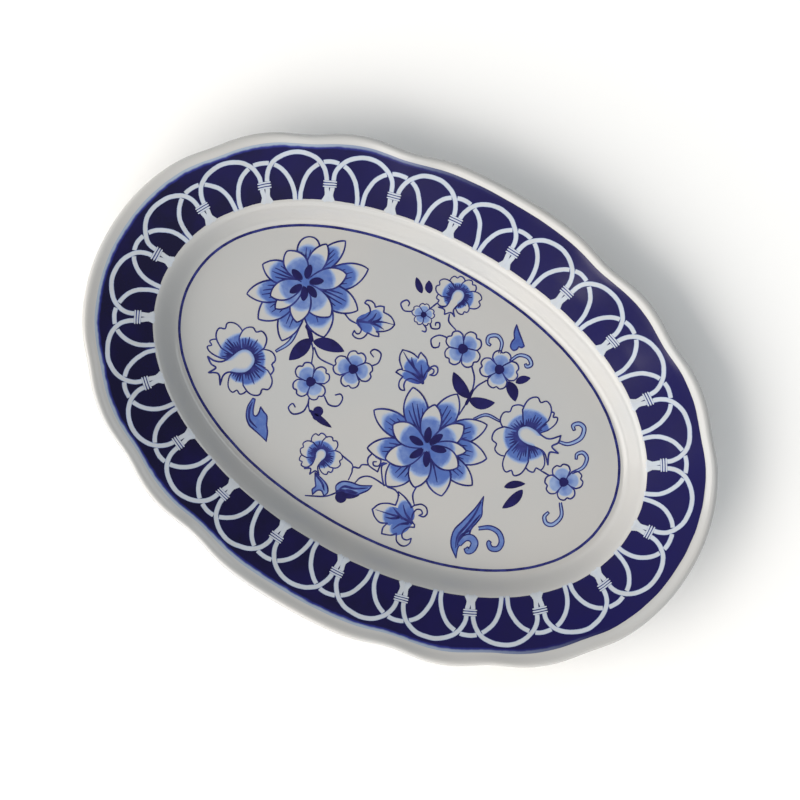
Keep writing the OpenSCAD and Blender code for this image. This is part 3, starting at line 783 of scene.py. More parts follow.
# Where a back arch passes behind the front arch beside it.
def crossingTurn():
    low, high = 90.0, 180.0
    for _ in range(30):
        middle = (low + high) / 2
        x, y = backPoint(middle)
        rise = (y - frontFoot) / (lattice["frontApex"] - frontFoot)
        if ((x - 0.5) / frontHalf) ** 2 + rise * abs(rise) > 1:
            low = middle
        else:
            high = middle
    return low


def strands(name, paths, width, lift, material=strandWhite, roundEnds=0.0):
    points, edges = [], []
    for k, path in enumerate(paths):
        start = len(points)
        points += [(x, y * mm, (lift + k * lattice["lap"]) * mm) for x, y in path]
        edges += [(start + k, start + k + 1) for k in range(len(path) - 1)]
    piece = newPiece(name, points, edges)
    return runTree(piece, borderTree, {
        **ovalValues,
        "Repeats": lattice["arches"],
        "First Tie": lattice["firstTie"],
        "Drift": lattice["drift"],
        "Drift Angle": lattice["driftAngle"] * degree,
        "Tie Inset": lattice["tieInset"] * mm,
        "Tie Height": tieAt * mm,
        "Shift": (borderShift[0] * mm, borderShift[1] * mm, 0.0),
        "Strand Width": width * mm,
        "Step": lattice["step"] * mm,
        "Wobble": lattice["wobble"] * mm,
        "Round Ends": roundEnds,
        "China": chinaBody,
        "Film": film["thickness"] * mm,
        "Material": material,
    })


crossAt = crossingTurn()
crossHalf = (lattice["strand"] / 2 + lattice["behindGap"]) / lattice["backApex"] / degree
backPaths = [
    [backPoint(turn) for turn in spread(first, last, lattice["steps"] // 2)]
    for first, last in (
        (0, 180 - crossAt - crossHalf),
        (180 - crossAt + crossHalf, crossAt - crossHalf),
        (crossAt + crossHalf, 180),
    )
]
frontPaths = [[frontPoint(turn) for turn in spread(0, 180, lattice["steps"])]]
backPaths[0].insert(0, (-backHalf, lattice["footDip"]))
backPaths[-1].append((backHalf, lattice["footDip"]))
backArches = strands("backArches", backPaths, lattice["strand"] * lattice["backShare"], layers["back"])
keepPiece(backArches, "reserved_white", "back_arches")
frontArches = strands("frontArches", frontPaths, lattice["strand"], layers["front"])
keepPiece(frontArches, "reserved_white", "front_arches")

# Each tie: a blue binding with three white bars over it, and the strands' ends spreading below.
ties = {
    "bars": 3, "barHeight": 1.0, "barReach": 1.55, "bindingShare": 0.9, "stemWidth": 2.7,
    "stem": [(1.75, tieAt - 1.2), (1.7, tieAt - 3.2), (1.3, tieAt - 5.2), (1.25, 1.5), (1.5, -0.7)],
    "flare": [(1.5, 2.2), (2.0, 1.1), (3.1, -0.7)],
}
halfTie = lattice["tieLength"] / 2 / pitch
barHeights = spread(tieAt - ties["barReach"], tieAt + ties["barReach"], ties["bars"] - 1)
barPaths = [[(x, height) for x in spread(-halfTie, halfTie, 12)] for height in barHeights]
halfBinding = halfTie * ties["bindingShare"]
bindingPath = [[(x, tieAt) for x in spread(-halfBinding, halfBinding, 8)]]
stemPaths = [
    [(side * half / pitch, height) for half, height in ties["stem"]] for side in (-1, 1)
] + [[(side * half / pitch, height) for half, height in ties["flare"]] for side in (-1, 1)]
archStems = strands("archStems", stemPaths, ties["stemWidth"], layers["stems"], stemWhite)
keepPiece(archStems, "reserved_white")
tieBindings = strands("tieBindings", bindingPath, lattice["tieHeight"], layers["binding"], lineBlue)
keepPiece(tieBindings, "line_blue")
archTies = strands("archTies", barPaths, ties["barHeight"], layers["bars"], strandWhite, 1.0)
keepPiece(archTies, "reserved_white", "arch_ties")

# A short touch of blue between the feet of neighbouring back arches.
touches = {"width": 0.5, "from": 0.2, "to": 5.5}
footPaths = [[(0.5, height) for height in spread(touches["from"], touches["to"], 5)]]
footTouches = strands("footTouches", footPaths, touches["width"], layers["touches"], lineBlue, 1.0)
keepPiece(footTouches, "line_blue")

# The line round the well.
wellBand = {"inset": 58, "width": 1.65, "lift": 0.03, "shift": (-1, 0.9), "wobble": 0.5}
bandSection = [
    (inset * mm, 0, wellBand["lift"] * mm)
    for inset in spread(
        wellBand["inset"] + wellBand["width"] / 2, wellBand["inset"] - wellBand["width"] / 2, 2)
]
wellLine = sweep("wellLine", bandSection, lineBlue, wellBand["shift"], wellBand["wobble"], scallops=False)
layOnChina(wellLine, lineBlue)
keepPiece(wellLine, "line_blue", "well_line")

# Drawing flat shapes, in millimetres from the platter's centre.
pen = {"outline": 1.0, "vein": 1.05, "wander": 0.08}
random.seed(7)


class Drawing:
    def __init__(self):
        self.points, self.faces, self.wash = [], [], []
        self.lines = 0

    def add(self, points, faces, lift, wash):
        area = sum(points[f[k]].cross(points[f[(k + 1) % len(f)]]) for f in faces for k in range(len(f)))
        start = len(self.points)
        self.points += [(p.x * mm, p.y * mm, lift * mm) for p in points]
        self.faces += [[start + k for k in (face if area > 0 else face[::-1])] for face in faces]
        self.wash += wash

    def addRows(self, rows, lift, wash=None):
        wide = len(rows[0])
        corners = [(r * wide + c, r * wide + c + 1) for r in range(len(rows) - 1) for c in range(wide - 1)]
        faces = [(a, b, b + wide, a + wide) for a, b in corners]
        points = [p for row in rows for p in row]
        self.add(points, faces, lift, wash or [0.0] * len(points))

    # A brushed line with round ends. press is the share of the width at its start, middle and end.
    def addLine(self, path, width, lift, press=(1.0, 1.0, 1.0), wash=0.0):
        last = len(path) - 1
        self.lines += 1
        lift += self.lines % 4 * 0.002  # lines that cross lie at different heights
        phase = random.uniform(0, 6)
        rows = []
        for k, point in enumerate(path):
            share = k / last
            ahead = (path[min(k + 1, last)] - path[max(k - 1, 0)]).normalized()
            side = Vector((-ahead.y, ahead.x))
            start, middle, end = press
            pressed = (
                start * (1 - share) + end * share
                + (middle - (start + end) / 2) * 4 * share * (1 - share))
            half = width / 2 * pressed * (1 + pen["wander"] * math.sin(9 * share + phase))
            cap = [(-0.85, 0.4), (-0.5, 0.82)] if k == 0 else []
            cap = cap + [(0, 1)] if k < last else [(0, 1), (0.5, 0.82), (0.85, 0.4)]
            for back, narrow in cap:
                middleOfRow = point + ahead * half * back
                rows.append([middleOfRow + side * half * narrow * v for v in (1, 0, -1)])
        self.addRows(rows, lift, [wash] * (len(rows) * 3))

    # A filled outline.
    def addShape(self, outline, lift, wash=0.0):
        triangles = tessellate_polygon([[p.to_3d() for p in outline]])
        self.add(outline, [tuple(t) for t in triangles], lift, [wash] * len(outline))

    def make(self, name, material):
        piece = newPiece(name, self.points, (), self.faces, {"wash": self.wash})
        return layOnChina(piece, material)


# A smooth line through a few points.
def through(points, steps=8):
    points = [Vector(p) for p in points]
    ends = [2 * points[0] - points[1]] + points + [2 * points[-1] - points[-2]]
    line = []
    for k in range(len(points) - 1):
        before, first, second, after = ends[k:k + 4]
        for u in spread(0, 1, steps)[:-1]:
            line.append(0.5 * (
                2 * first + (second - before) * u + (2 * before - 5 * first + 4 * second - after) * u * u
                + (3 * first - before - 3 * second + after) * u ** 3))
    return line + [points[-1]]


def polar(length, direction):
    return Vector((length * math.cos(direction * degree), length * math.sin(direction * degree)))


def fadeOut(value, start, end):
    u = min(1, max(0, (value - start) / (end - start)))
    return 1 - u * u * (3 - 2 * u)


# Shares of a length, closer together at both ends.
def eased(steps):
    return [(1 - math.cos(math.pi * k / steps)) / 2 for k in range(steps + 1)]


# Rows of points across a leaf or petal, from its base to its tip.
def bladeRows(base, tip, width, powers=(0.8, 0.8), bend=0.0, steps=22, columns=8):
    base, tip = Vector(base), Vector(tip)
    along = tip - base
    side = Vector((-along.y, along.x)).normalized()
    widest = powers[0] / sum(powers)
    peak = widest ** powers[0] * (1 - widest) ** powers[1]
    rows = []
    for u in eased(steps):
        half = width / 2 * u ** powers[0] * (1 - u) ** powers[1] / peak
        middle = base + along * u + side * bend * 4 * u * (1 - u)
        rows.append([middle + side * half * v for v in spread(1, -1, columns)])
    return rows


# A point of a blade: u runs from its base to its tip and v from edge to edge.
def bladePoint(rows, u, v):
    row = math.acos(1 - 2 * u) / math.pi * (len(rows) - 1)
    column = (1 - v) / 2 * (len(rows[0]) - 1)
    r, c = min(int(row), len(rows) - 2), min(int(column), len(rows[0]) - 2)
    near = rows[r][c].lerp(rows[r][c + 1], column - c)
    return near.lerp(rows[r + 1][c].lerp(rows[r + 1][c + 1], column - c), row - r)


def outlineBlade(lines, rows, lift, width, first=0):
    for column in (0, -1):
        lines.addLine([row[column] for row in rows[first:]], width, lift + film["line"], (0.75, 1.1, 0.95))


def drawVeins(lines, rows, veins, lift, width):
    for v, start, end in veins:
        shares = zip(spread(0, 1, 8), spread(start, end, 8))
        path = [bladePoint(rows, u, v * (0.55 + 0.45 * share)) for share, u in shares]
        lines.addLine(path, width, lift + film["line"], (1.0, 1.0, 0.45))


# Blue washed from the base, with a soft round end.
def washedBlade(fill, rows, lift, reach, strength, base=0.3):
    wash = []
    for u, row in zip(eased(len(rows) - 1), rows):
        for v in spread(-1, 1, len(row) - 1):
            ends = fadeOut(math.hypot(u / reach, 0.5 * v), 0.9, 1.06)
            wash.append(ends * strength * (1 + base * fadeOut(u / reach, 0.2, 0.75)))
    fill.addRows(rows, lift, wash)


# The two large blooms: petals as [direction, length, width, bend].
bloomLook = {
    "outerPowers": (1.3, 0.84), "innerPowers": (1.1, 0.76), "outerReach": 0.84, "innerReach": 0.74,
    "outerWash": 0.58, "innerWash": 0.5, "seedWidth": 4.6, "seedFrom": 2.4, "firstLift": 0.03,
}
leftBloomPlan = {
    "centre": (-85.5, 33),
    "outer": [
        (113, 28, 13.5, 0.6, 0.5), (76, 35, 11.5, 0.4), (42, 39, 15.5, -1.6), (2, 36, 15, 0.3),
        (-41, 35, 17.5, 1.4), (-82, 38, 14.5, 0), (-112, 36, 16, 0.3), (-139, 36, 13.5, 1.2),
        (-173, 28, 13.5, 0.3),
    ],
    "inner": [
        (91, 26.5, 11, 0), (41, 25.5, 13, -0.6), (-24, 25.5, 14.5, -1.4), (-72, 24.5, 12.5, 0),
        (-109, 24, 9.5, 0.3), (-129, 22.5, 12, -0.3), (150, 22, 14, -0.8),
    ],
    "seeds": (103, 35, -24, -66, -117, 165),
    "seedTo": 11.3,
}
rightBloomPlan = {
    "centre": (28.3, -16.6),
    "outer": [
        (90, 37, 14.5, 0), (50, 39, 14.5, 1.2), (19, 37, 15, 1.3), (-10, 36, 13, 0.6), (-43, 31, 15.5, 1.6),
        (-106, 34, 16, -0.6), (-149, 36, 14, 1.2), (175, 39, 14, 0), (133, 37, 15, 1.5),
    ],
    "inner": [
        (109, 26, 12.5, 0.3), (60, 26, 12.5, -1.2), (24, 24, 9, 0.4), (-3, 22.5, 13, 0), (-77, 25.5, 13, 0),
        (-134, 26, 13.5, 1.0), (176, 24.5, 13.5, 0.3),
    ],
    "seeds": (113, 68, 18, -62, -118, 178),
    "seedTo": 12.3,
}
outerVeins = [(-0.56, 0.34, 0.64), (-0.2, 0.3, 0.73), (0.2, 0.3, 0.76), (0.56, 0.34, 0.66)]


def paintBloom(name, plan):
    fill, lines, seeds = Drawing(), Drawing(), Drawing()
    centre = Vector(plan["centre"])
    lift = bloomLook["firstLift"]
    for k, (direction, length, width, bend, *blunt) in enumerate(plan["outer"]):
        powers = (bloomLook["outerPowers"][0], *(blunt or bloomLook["outerPowers"][1:]))
        rows = bladeRows(centre - polar(1, direction), centre + polar(length, direction), width, powers, bend)
        washedBlade(fill, rows, lift, bloomLook["outerReach"], bloomLook["outerWash"])
        outlineBlade(lines, rows, lift, pen["outline"], 3)
        veins = outerVeins if (k * 5 + 1) % 7 else outerVeins[1:2]
        drawVeins(lines, rows, veins, lift, pen["vein"])
        lift += film["step"]
    for direction, length, width, bend in plan["inner"]:
        rows = bladeRows(
            centre - polar(1, direction), centre + polar(length, direction),
            width, bloomLook["innerPowers"], bend)
        washedBlade(fill, rows, lift, bloomLook["innerReach"], bloomLook["innerWash"], 0.15)
        outlineBlade(lines, rows, lift, pen["outline"], 5)
        lift += film["step"]
    for direction in plan["seeds"]:
        rows = bladeRows(
            centre + polar(bloomLook["seedFrom"], direction), centre + polar(plan["seedTo"], direction),
            bloomLook["seedWidth"], (0.62, 0.62), 0.2, 14, 4)
        seeds.addRows(rows, lift + film["step"])
    return fill.make(name + "BloomPetals", washedBlue), lines.make(name + "BloomLines", lineBlue), seeds


leftPetals, leftLines, leftSeeds = paintBloom("left", leftBloomPlan)
rightPetals, rightLines, rightSeeds = paintBloom("right", rightBloomPlan)
keepPiece(leftPetals, "washed_blue", "left_bloom")
keepPiece(leftLines, "line_blue")
keepPiece(rightPetals, "washed_blue", "right_bloom")
keepPiece(rightLines, "line_blue")
bloomSeeds = leftSeeds.make("leftBloomSeeds", denseBlue)
keepPiece(bloomSeeds, "dark_blue", "bloom_seeds")
keepPiece(rightSeeds.make("rightBloomSeeds", denseBlue), "dark_blue")


# Blooms with round notched petals.
# Rows from the middle of the bloom to the petal's edge.
def roundRows(centre, direction, length, width, notch=0.25, steps=18, columns=28):
    forward, side = polar(1, direction), polar(1, direction + 90)
    rows = []
    for u in spread(0, 1, steps):
        row = []
        for v in spread(1, -1, columns):
            dent = 1 - notch * math.exp(-(v * 90 / 13) ** 2)
            reach = length * (0.55 + 0.45 * max(0, math.cos(v * math.pi / 2)) ** 0.6 * dent)
            aside = side * width / 2 * math.sin(v * math.pi / 2) * u ** 0.72
            row.append(centre + forward * reach * u + aside)
        rows.append(row)
    return rows


def paintRoundPetal(fill, lines, rows, lift, start, reach, strength, width, rounding):
    wash = []
    steps = len(rows) - 1
    centre = rows[0][0]
    length = max((p - centre).length for p in rows[-1])
    for row in rows:
        for v, p in zip(spread(-1, 1, len(row) - 1), row):
            share = math.hypot((p - centre).length / length / reach, rounding * v)
            wash.append(strength * fadeOut(share, 0.93, 1.08) * (1 + 0.35 * fadeOut(share, 0.3, 0.8)))
    fill.addRows(rows, lift, wash)
    first = int(start * steps)
    edge = [row[0] for row in rows[first:-1]] + rows[-1] + [row[-1] for row in rows[-2:first:-1]]
    lines.addLine(edge, width, lift + film["line"], (0.8, 1.0, 0.8))


trumpetLook = {"reach": 0.66, "wash": 0.6, "rays": 6, "rayWidth": 1.25, "shade": 0.5, "firstLift": 0.03}
# A trumpet bloom has the middle and width of its bulb, its petals as [direction, length, width], the
# weight of its lines, and its bulb, neck and open mouth as one outline of smooth stretches.
trumpetPlans = [
    {
        "bulb": (-94, -26), "width": 13.4, "line": 1.0,
        "petals": [(186, 24.5, 10), (20, 19, 16.5), (-74, 21.5, 13), (152, 25, 16.5), (97, 20.5, 16.5),
                   (-29, 23.5, 17.5)],
        "outline": [
            [(-114.2, -35.6), (-109.4, -35.7), (-105, -33.6), (-102.4, -29), (-100, -23), (-96.6, -19.8),
             (-92, -19.8), (-88.2, -22.8), (-87.4, -27.6), (-89.4, -32.6), (-94, -35.6), (-98.6, -37.4),
             (-100.4, -41), (-99.2, -46.7)],
            [(-99.2, -46.7), (-103.4, -41.4), (-109, -43.6)],
            [(-109, -43.6), (-106.6, -39), (-110.4, -38.3), (-114.2, -35.6)],
        ],
    },
    {
        "bulb": (77.5, 19.8), "width": 10.5, "line": 1.0,
        "petals": [(65, 22, 9.5), (-44, 23, 13), (155, 20, 18), (225, 21.5, 17.5), (97, 24.5, 17),
                   (-84, 26, 14.5)],
        "outline": [
            [(95.4, 30), (90.6, 25), (86, 24.3), (80.6, 25.6), (75.2, 25.3), (71.6, 22.4), (71.4, 18.6),
             (74.6, 15.6), (80.4, 15), (86.4, 16.4), (92, 16), (97.4, 10.8)],
            [(97.4, 10.8), (94.6, 17.6), (99.3, 20)], [(99.3, 20), (94, 21.6), (96.2, 25.6), (95.4, 30)],
        ],
    },
    {
        "bulb": (-1.2, 72), "width": 7.4, "line": 0.85,
        "petals": [(120, 12.5, 9.5), (68, 13, 9), (-138, 13, 8.5), (16, 15, 10.5), (-37, 11.5, 8),
                   (177, 14.5, 10.5)],
        "outline": [
            [(-8, 60.5), (-4.5, 63), (-4, 67), (-5, 71.6), (-4, 75.2), (-1, 76.6), (2, 75.2), (2.8, 71.6),
             (1.4, 67), (0.9, 63.4), (3.2, 60.4)],
            [(3.2, 60.4), (0.2, 61.4), (-2.6, 58.6)], [(-2.6, 58.6), (-4.2, 61), (-8, 60.5)],
        ],
    },
    {
        "bulb": (-25, -53), "width": 6.8, "line": 0.85,
        "petals": [(126, 13.5, 9.5), (79, 13, 9.5), (-36, 12.5, 8), (12, 13.5, 10.5), (-130, 13.5, 8.5),
                   (185, 13, 10)],
        "outline": [
            [(-29.4, -65), (-27, -61), (-27, -57), (-28.4, -53), (-27.4, -50), (-25, -48.9), (-22.6, -50),
             (-21.6, -53), (-22.8, -57), (-22.8, -60.6), (-19.8, -64)],
            [(-19.8, -64), (-23, -63), (-25, -66.4)], [(-25, -66.4), (-26.2, -63.2), (-29.4, -65)],
        ],
    },
]


def paintTrumpet(fill, lines, plan):
    centre = Vector(plan["bulb"])
    lift = trumpetLook["firstLift"]
    bulbShare = plan["width"] / 2
    for direction, length, width in plan["petals"]:
        rows = roundRows(centre, direction, length, width)
        paintRoundPetal(
            fill, lines, rows, lift, 0.3, trumpetLook["reach"], trumpetLook["wash"], plan["line"], 0.1)
        for v in spread(-0.86, 0.86, trumpetLook["rays"]):
            column = round((1 - v) / 2 * (len(rows[0]) - 1))
            edge = rows[-1][column]
            first = bulbShare * 0.95 / (edge - centre).length
            last = first + random.uniform(0.22, 0.42)
            path = [centre.lerp(edge, u) for u in spread(first, last, 4)]
            lines.addLine(
                path, trumpetLook["rayWidth"] * plan["line"], lift + film["line"] * 1.5, (1.3, 1.0, 0.4))
        lift += film["step"]
    stretches = [through(points, 7) for points in plan["outline"]]
    fill.addShape([p for stretch in stretches for p in stretch[:-1]], lift)
    head = stretches[0][14:-14]
    shade = trumpetLook["shade"]
    rows = [[p, p.lerp(centre, 0.28), p.lerp(centre, 0.5)] for p in head]
    fill.addRows(rows, lift + film["line"] * 0.7, [shade, shade * 0.45, 0] * len(head))
    for stretch in stretches:
        lines.addLine(stretch, plan["line"] * 1.05, lift + film["line"], (1.0, 1.1, 1.0))


trumpetFill, trumpetLines = Drawing(), Drawing()
for plan in trumpetPlans:
    paintTrumpet(trumpetFill, trumpetLines, plan)
keepPiece(trumpetFill.make("trumpetPetals", washedBlue), "washed_blue", "trumpet_blooms")
keepPiece(trumpetLines.make("trumpetLines", lineBlue), "line_blue")

smallLook = {"width": 0.95, "reach": 0.78, "wash": 0.4, "eye": 0.25, "firstLift": 0.03}
# A small bloom is [middle, petals, direction of the first petal, petal length].
smallPlans = [
    ((-34, 2), 4, 105, 11.8), ((-52.5, -17.5), 4, 60, 11.8), ((-13.5, 52), 5, 112, 7.2),
    ((17.5, 46), 4, 68, 12.2), ((43, 46.2), 4, 110, 11.8), ((111, 6.5), 4, 43, 11.4),
]
smallFill, smallLines, eyes = Drawing(), Drawing(), Drawing()
for middle, petals, direction, length in smallPlans:
    centre = Vector(middle)
    lift = smallLook["firstLift"]
    for k in range(petals):
        wide = length * smallLook["width"] * random.uniform(0.92, 1.05) * (1 if petals == 4 else 0.86)
        rows = roundRows(
            centre, direction - k * 360 / petals + random.uniform(-3, 3),
            length * random.uniform(0.94, 1.04), wide)
        weight = pen["outline"] if length > 10 else 0.7
        paintRoundPetal(
            smallFill, smallLines, rows, lift, 0.2, smallLook["reach"], smallLook["wash"], weight, 0.6)
        lift += film["step"]
    radius = length * smallLook["eye"]
    rim = [
        centre + polar(radius * (1 + 0.05 * math.sin(3 * turn * degree)), turn)
        for turn in spread(0, 360, 28)[:-1]
    ]
    eyes.addShape(rim, lift + film["step"])
keepPiece(smallFill.make("smallBloomPetals", washedBlue), "washed_blue", "small_blooms")
keepPiece(smallLines.make("smallBloomLines", lineBlue), "line_blue")
keepPiece(eyes.make("bloomEyes", denseBlue), "dark_blue", "bloom_eyes")

# Leaves.
# An open leaf has smooth stretches that meet at its points, washes as [base, tip, width, reach], and veins.
openLeafPlans = [
    {
        "outline": [
            [(-46.7, 28.7), (-43.4, 32.4), (-42.4, 37), (-44.8, 40), (-48, 40.3)],
            [(-48, 40.3), (-47.6, 42.3), (-45.2, 43.3), (-42.7, 42.8), (-41.1, 41.3)],
            [(-41.1, 41.3), (-39.2, 43.2), (-36.7, 44.2)], [(-36.7, 44.2), (-35.8, 42.7), (-35.3, 41.2)],
            [(-35.3, 41.2), (-30.8, 41.2), (-27.6, 39.8), (-25.7, 37.9)],
            [(-25.7, 37.9), (-26.4, 34.8), (-28.8, 31.6), (-33.2, 28.8)],
            [(-33.2, 28.8), (-31.6, 28.5), (-30.4, 27)], [(-30.4, 27), (-33.4, 25.8), (-37.4, 25.5)],
            [(-37.4, 25.5), (-38, 22.2), (-39.9, 19.9), (-42.7, 19.3), (-44.9, 20.2), (-45.1, 22.6)],
            [(-45.1, 22.6), (-43.1, 21.7), (-41.5, 22.8), (-41.7, 25.3), (-44, 26.7), (-46.7, 28.7)],
        ],
        "washes": [((-47, 28), (-28, 37.5), 11.5, 0.78), ((-45, 28.5), (-33, 43), 8, 0.8),
                   ((-46, 28.3), (-33, 27.5), 6, 0.8)],
        "veins": [
            [(-46.3, 28.9), (-40, 31.3), (-33.5, 35.4), (-26.3, 37.7)],
            [(-40, 31.5), (-38.9, 35), (-38.8, 38.5)],
            [(-37.4, 33), (-35.6, 35.6), (-34.9, 38)], [(-38.6, 31.9), (-34, 32.4), (-30, 32.2)],
        ],
    },
    {
        "outline": [
            [(6.9, 15.6), (5.4, 20), (5.6, 24.6), (7.2, 28), (9.6, 28.5), (11.3, 26.2), (10.8, 23.4),
             (8.1, 22.2)],
            [(8.1, 22.2), (9.3, 24.1), (8.7, 26), (6.9, 25.9), (6, 23.4)], [(6, 23.4), (5.3, 26), (3.8, 27)],
            [(3.8, 27), (1.2, 29.7), (-3.4, 31.4)], [(-3.4, 31.4), (-3.6, 29.4), (-3.1, 27.6)],
            [(-3.1, 27.6), (-7, 28.4), (-10.4, 28.1), (-13.8, 27.2)],
            [(-13.8, 27.2), (-13.6, 23.6), (-11.8, 20.2), (-8.1, 17)],
            [(-8.1, 17), (-9.9, 15.4), (-10.6, 13.4)],
            [(-10.6, 13.4), (-8, 13.3), (-5.6, 13.1)],
            [(-5.6, 13.1), (-6, 10), (-4.9, 7), (-2.7, 5.7), (-0.5, 6.4)],
            [(-0.5, 6.4), (-2.5, 9), (-2.8, 12.3), (-0.6, 14.6), (3.4, 15.2), (6.9, 15.6)],
        ],
        "washes": [((6.5, 15.5), (-10.5, 26), 11, 0.85), ((6, 16.5), (-2, 30.5), 7.5, 0.85),
                   ((6, 15.5), (-9.5, 14.5), 5.5, 0.85)],
        "veins": [
            [(6.8, 15.8), (3.4, 20.5), (0.4, 25)], [(4, 18.6), (-2.8, 21.5), (-8, 23.6), (-12.6, 26.3)],
            [(-3.1, 21.8), (-5.4, 24), (-6.8, 25.9)], [(5.6, 16.6), (0.4, 17.6), (-4.4, 17.4), (-8, 16.4)],
        ],
    },
    {
        "outline": [
            [(40, -50.6), (42.9, -48.4), (46.4, -48.6), (48.7, -51.4), (47.9, -54.2), (45.1, -55)],
            [(45.1, -55), (46.2, -53), (44.4, -51.5), (41.9, -52.7), (41.4, -56.4), (43, -60), (45.4, -61.2)],
            [(45.4, -61.2), (46.2, -62.6)], [(46.2, -62.6), (43.4, -64.2), (41.7, -67), (41.8, -70.2),
                                             (43.6, -71.9), (46.1, -71.5), (47.9, -69.4)],
            [(47.9, -69.4), (48.5, -72.4), (47, -75.2), (44.2, -76.2), (40.8, -75), (38.6, -71.2)],
            [(38.6, -71.2), (36.2, -73.9), (30.9, -75.9)], [(30.9, -75.9), (29.8, -72.3), (30.7, -68.7)],
            [(30.7, -68.7), (26.4, -70.5), (22, -69), (18.6, -65.9)],
            [(18.6, -65.9), (20.6, -61.2), (25, -58), (29.6, -56.7)],
            [(29.6, -56.7), (28.8, -52.4), (27.1, -48.7)],
            [(27.1, -48.7), (32.2, -49.7), (37, -51.9), (38.6, -53.2)],
            [(38.6, -53.2), (39.2, -51.8), (40, -50.6)],
        ],
        "washes": [((44, -61), (22, -65.5), 12, 0.85), ((43, -60), (29.5, -51), 8.5, 0.85),
                   ((43, -62), (33, -74), 8, 0.85)],
        "veins": [
            [(43.5, -61), (36, -61.5), (29, -63.2), (20.6, -65)], [(37, -61.6), (32.5, -60), (29.5, -58.8)],
            [(43, -60.4), (37.5, -58), (33.5, -54.2)], [(41.5, -62.5), (37.6, -65.5), (35.4, -70)],
            [(35, -62.2), (31.5, -64.8), (28, -66)],
        ],
    },
]
leafLook = {"wash": 0.58, "firstLift": 0.03}


def paintOpenLeaf(fill, lines, plan):
    stretches = [through(points, 6) for points in plan["outline"]]
    outline = [p for stretch in stretches for p in stretch[:-1]]
    lift = leafLook["firstLift"]
    fill.addShape(outline, lift)
    for base, tip, width, reach in plan["washes"]:
        lift += film["line"]
        rows = bladeRows(base, tip, width, (0.5, 0.5))
        washedBlade(fill, rows, lift, reach, leafLook["wash"])
    lift += film["step"]
    for stretch in stretches:
        lines.addLine(stretch, pen["outline"], lift, (0.95, 1.0, 0.95))
    for vein in plan["veins"]:
        lines.addLine(through(vein), pen["vein"] * 1.15, lift, (1.5, 1.0, 0.4))


openFill, openLines = Drawing(), Drawing()
for plan in openLeafPlans:
    paintOpenLeaf(openFill, openLines, plan)
keepPiece(openFill.make("openLeafFills", washedBlue), "washed_blue", "open_leaves")
keepPiece(openLines.make("openLeafLines", lineBlue), "line_blue")

# Blue leaves are washed all over: their outlines, their streaks and how strong the blue is.
blueLeafPlans = [
    {
        "outline": [
            [(38.5, 75), (42, 71.8), (46, 68.6), (49, 66)], [(49, 66), (48, 64.4), (46.3, 64.1)],
            [(46.3, 64.1), (46, 62), (44.4, 60.5), (42, 61.5), (41.2, 64.4), (41.6, 67)],
            [(41.6, 67), (39.4, 70.6), (38.5, 75)],
        ],
        "streaks": [], "wash": 0.72,
    },
    {
        "outline": [
            [(-76.4, -43.6), (-74.6, -49), (-72.6, -52.2), (-70.7, -52), (-70.4, -49.4), (-71.2, -46)],
            [(-71.2, -46), (-68, -47.6), (-65, -49), (-62.6, -53.6), (-60, -57), (-57.8, -62.3)],
            [(-57.8, -62.3), (-61, -61.4), (-64.7, -60.6), (-68.4, -59.8), (-72, -58.8), (-75.9, -55.2),
             (-78.1, -49.7), (-78, -43.8)],
            [(-78, -43.8), (-76.4, -43.6)],
        ],
        "streaks": [[(-77, -46), (-76.2, -51), (-73, -56), (-67, -58)]],
        "wash": 0.6,
    },
    {
        "outline": [
            [(-5.5, -68), (-7.6, -64.4), (-5.6, -60.4), (-1, -58.2), (5, -57), (11.3, -53.6)],
            [(11.3, -53.6), (10.6, -57), (8.2, -60.4), (5.6, -63), (0, -64.8), (-5.5, -68)],
        ],
        "streaks": [
            [(-5.2, -66.8), (-3, -62.4), (3, -60.4), (9.8, -56)], [(-4.8, -67.3), (0, -63.4), (6, -61.6)],
        ],
        "wash": 0.5,
    },
    {
        "outline": [
            [(-22.6, -64), (-17, -65.2), (-12.6, -67), (-10, -70.4), (-10.9, -73.6)],
            [(-10.9, -73.6), (-13.6, -71.6), (-16, -72.6), (-17.4, -76.2)],
            [(-17.4, -76.2), (-19, -73.6), (-18.2, -71), (-20.4, -67.8), (-22.6, -64)],
        ],
        "streaks": [[(-21.6, -65), (-16, -67.2), (-12.4, -70.6)]], "wash": 0.5,
    },
    {
        "outline": [
            [(73.3, -25.4), (72.4, -34), (70, -44), (68, -51), (68.7, -56.4), (71.4, -61.4), (77.4, -66)],
            [(77.4, -66), (75.3, -60), (76.2, -55.5), (77.2, -50), (76.6, -46), (77.6, -41), (78, -36),
             (75.6, -31), (73.3, -25.4)],
        ],
        "streaks": [
            [(73.6, -29), (74, -38), (73, -46), (71.6, -54), (74, -61)],
            [(77, -36), (75.6, -44), (74.2, -52), (74.8, -58)],
            [(76.6, -47), (73.2, -53), (74.4, -60)],
        ],
        "wash": 0.56,
    },
]
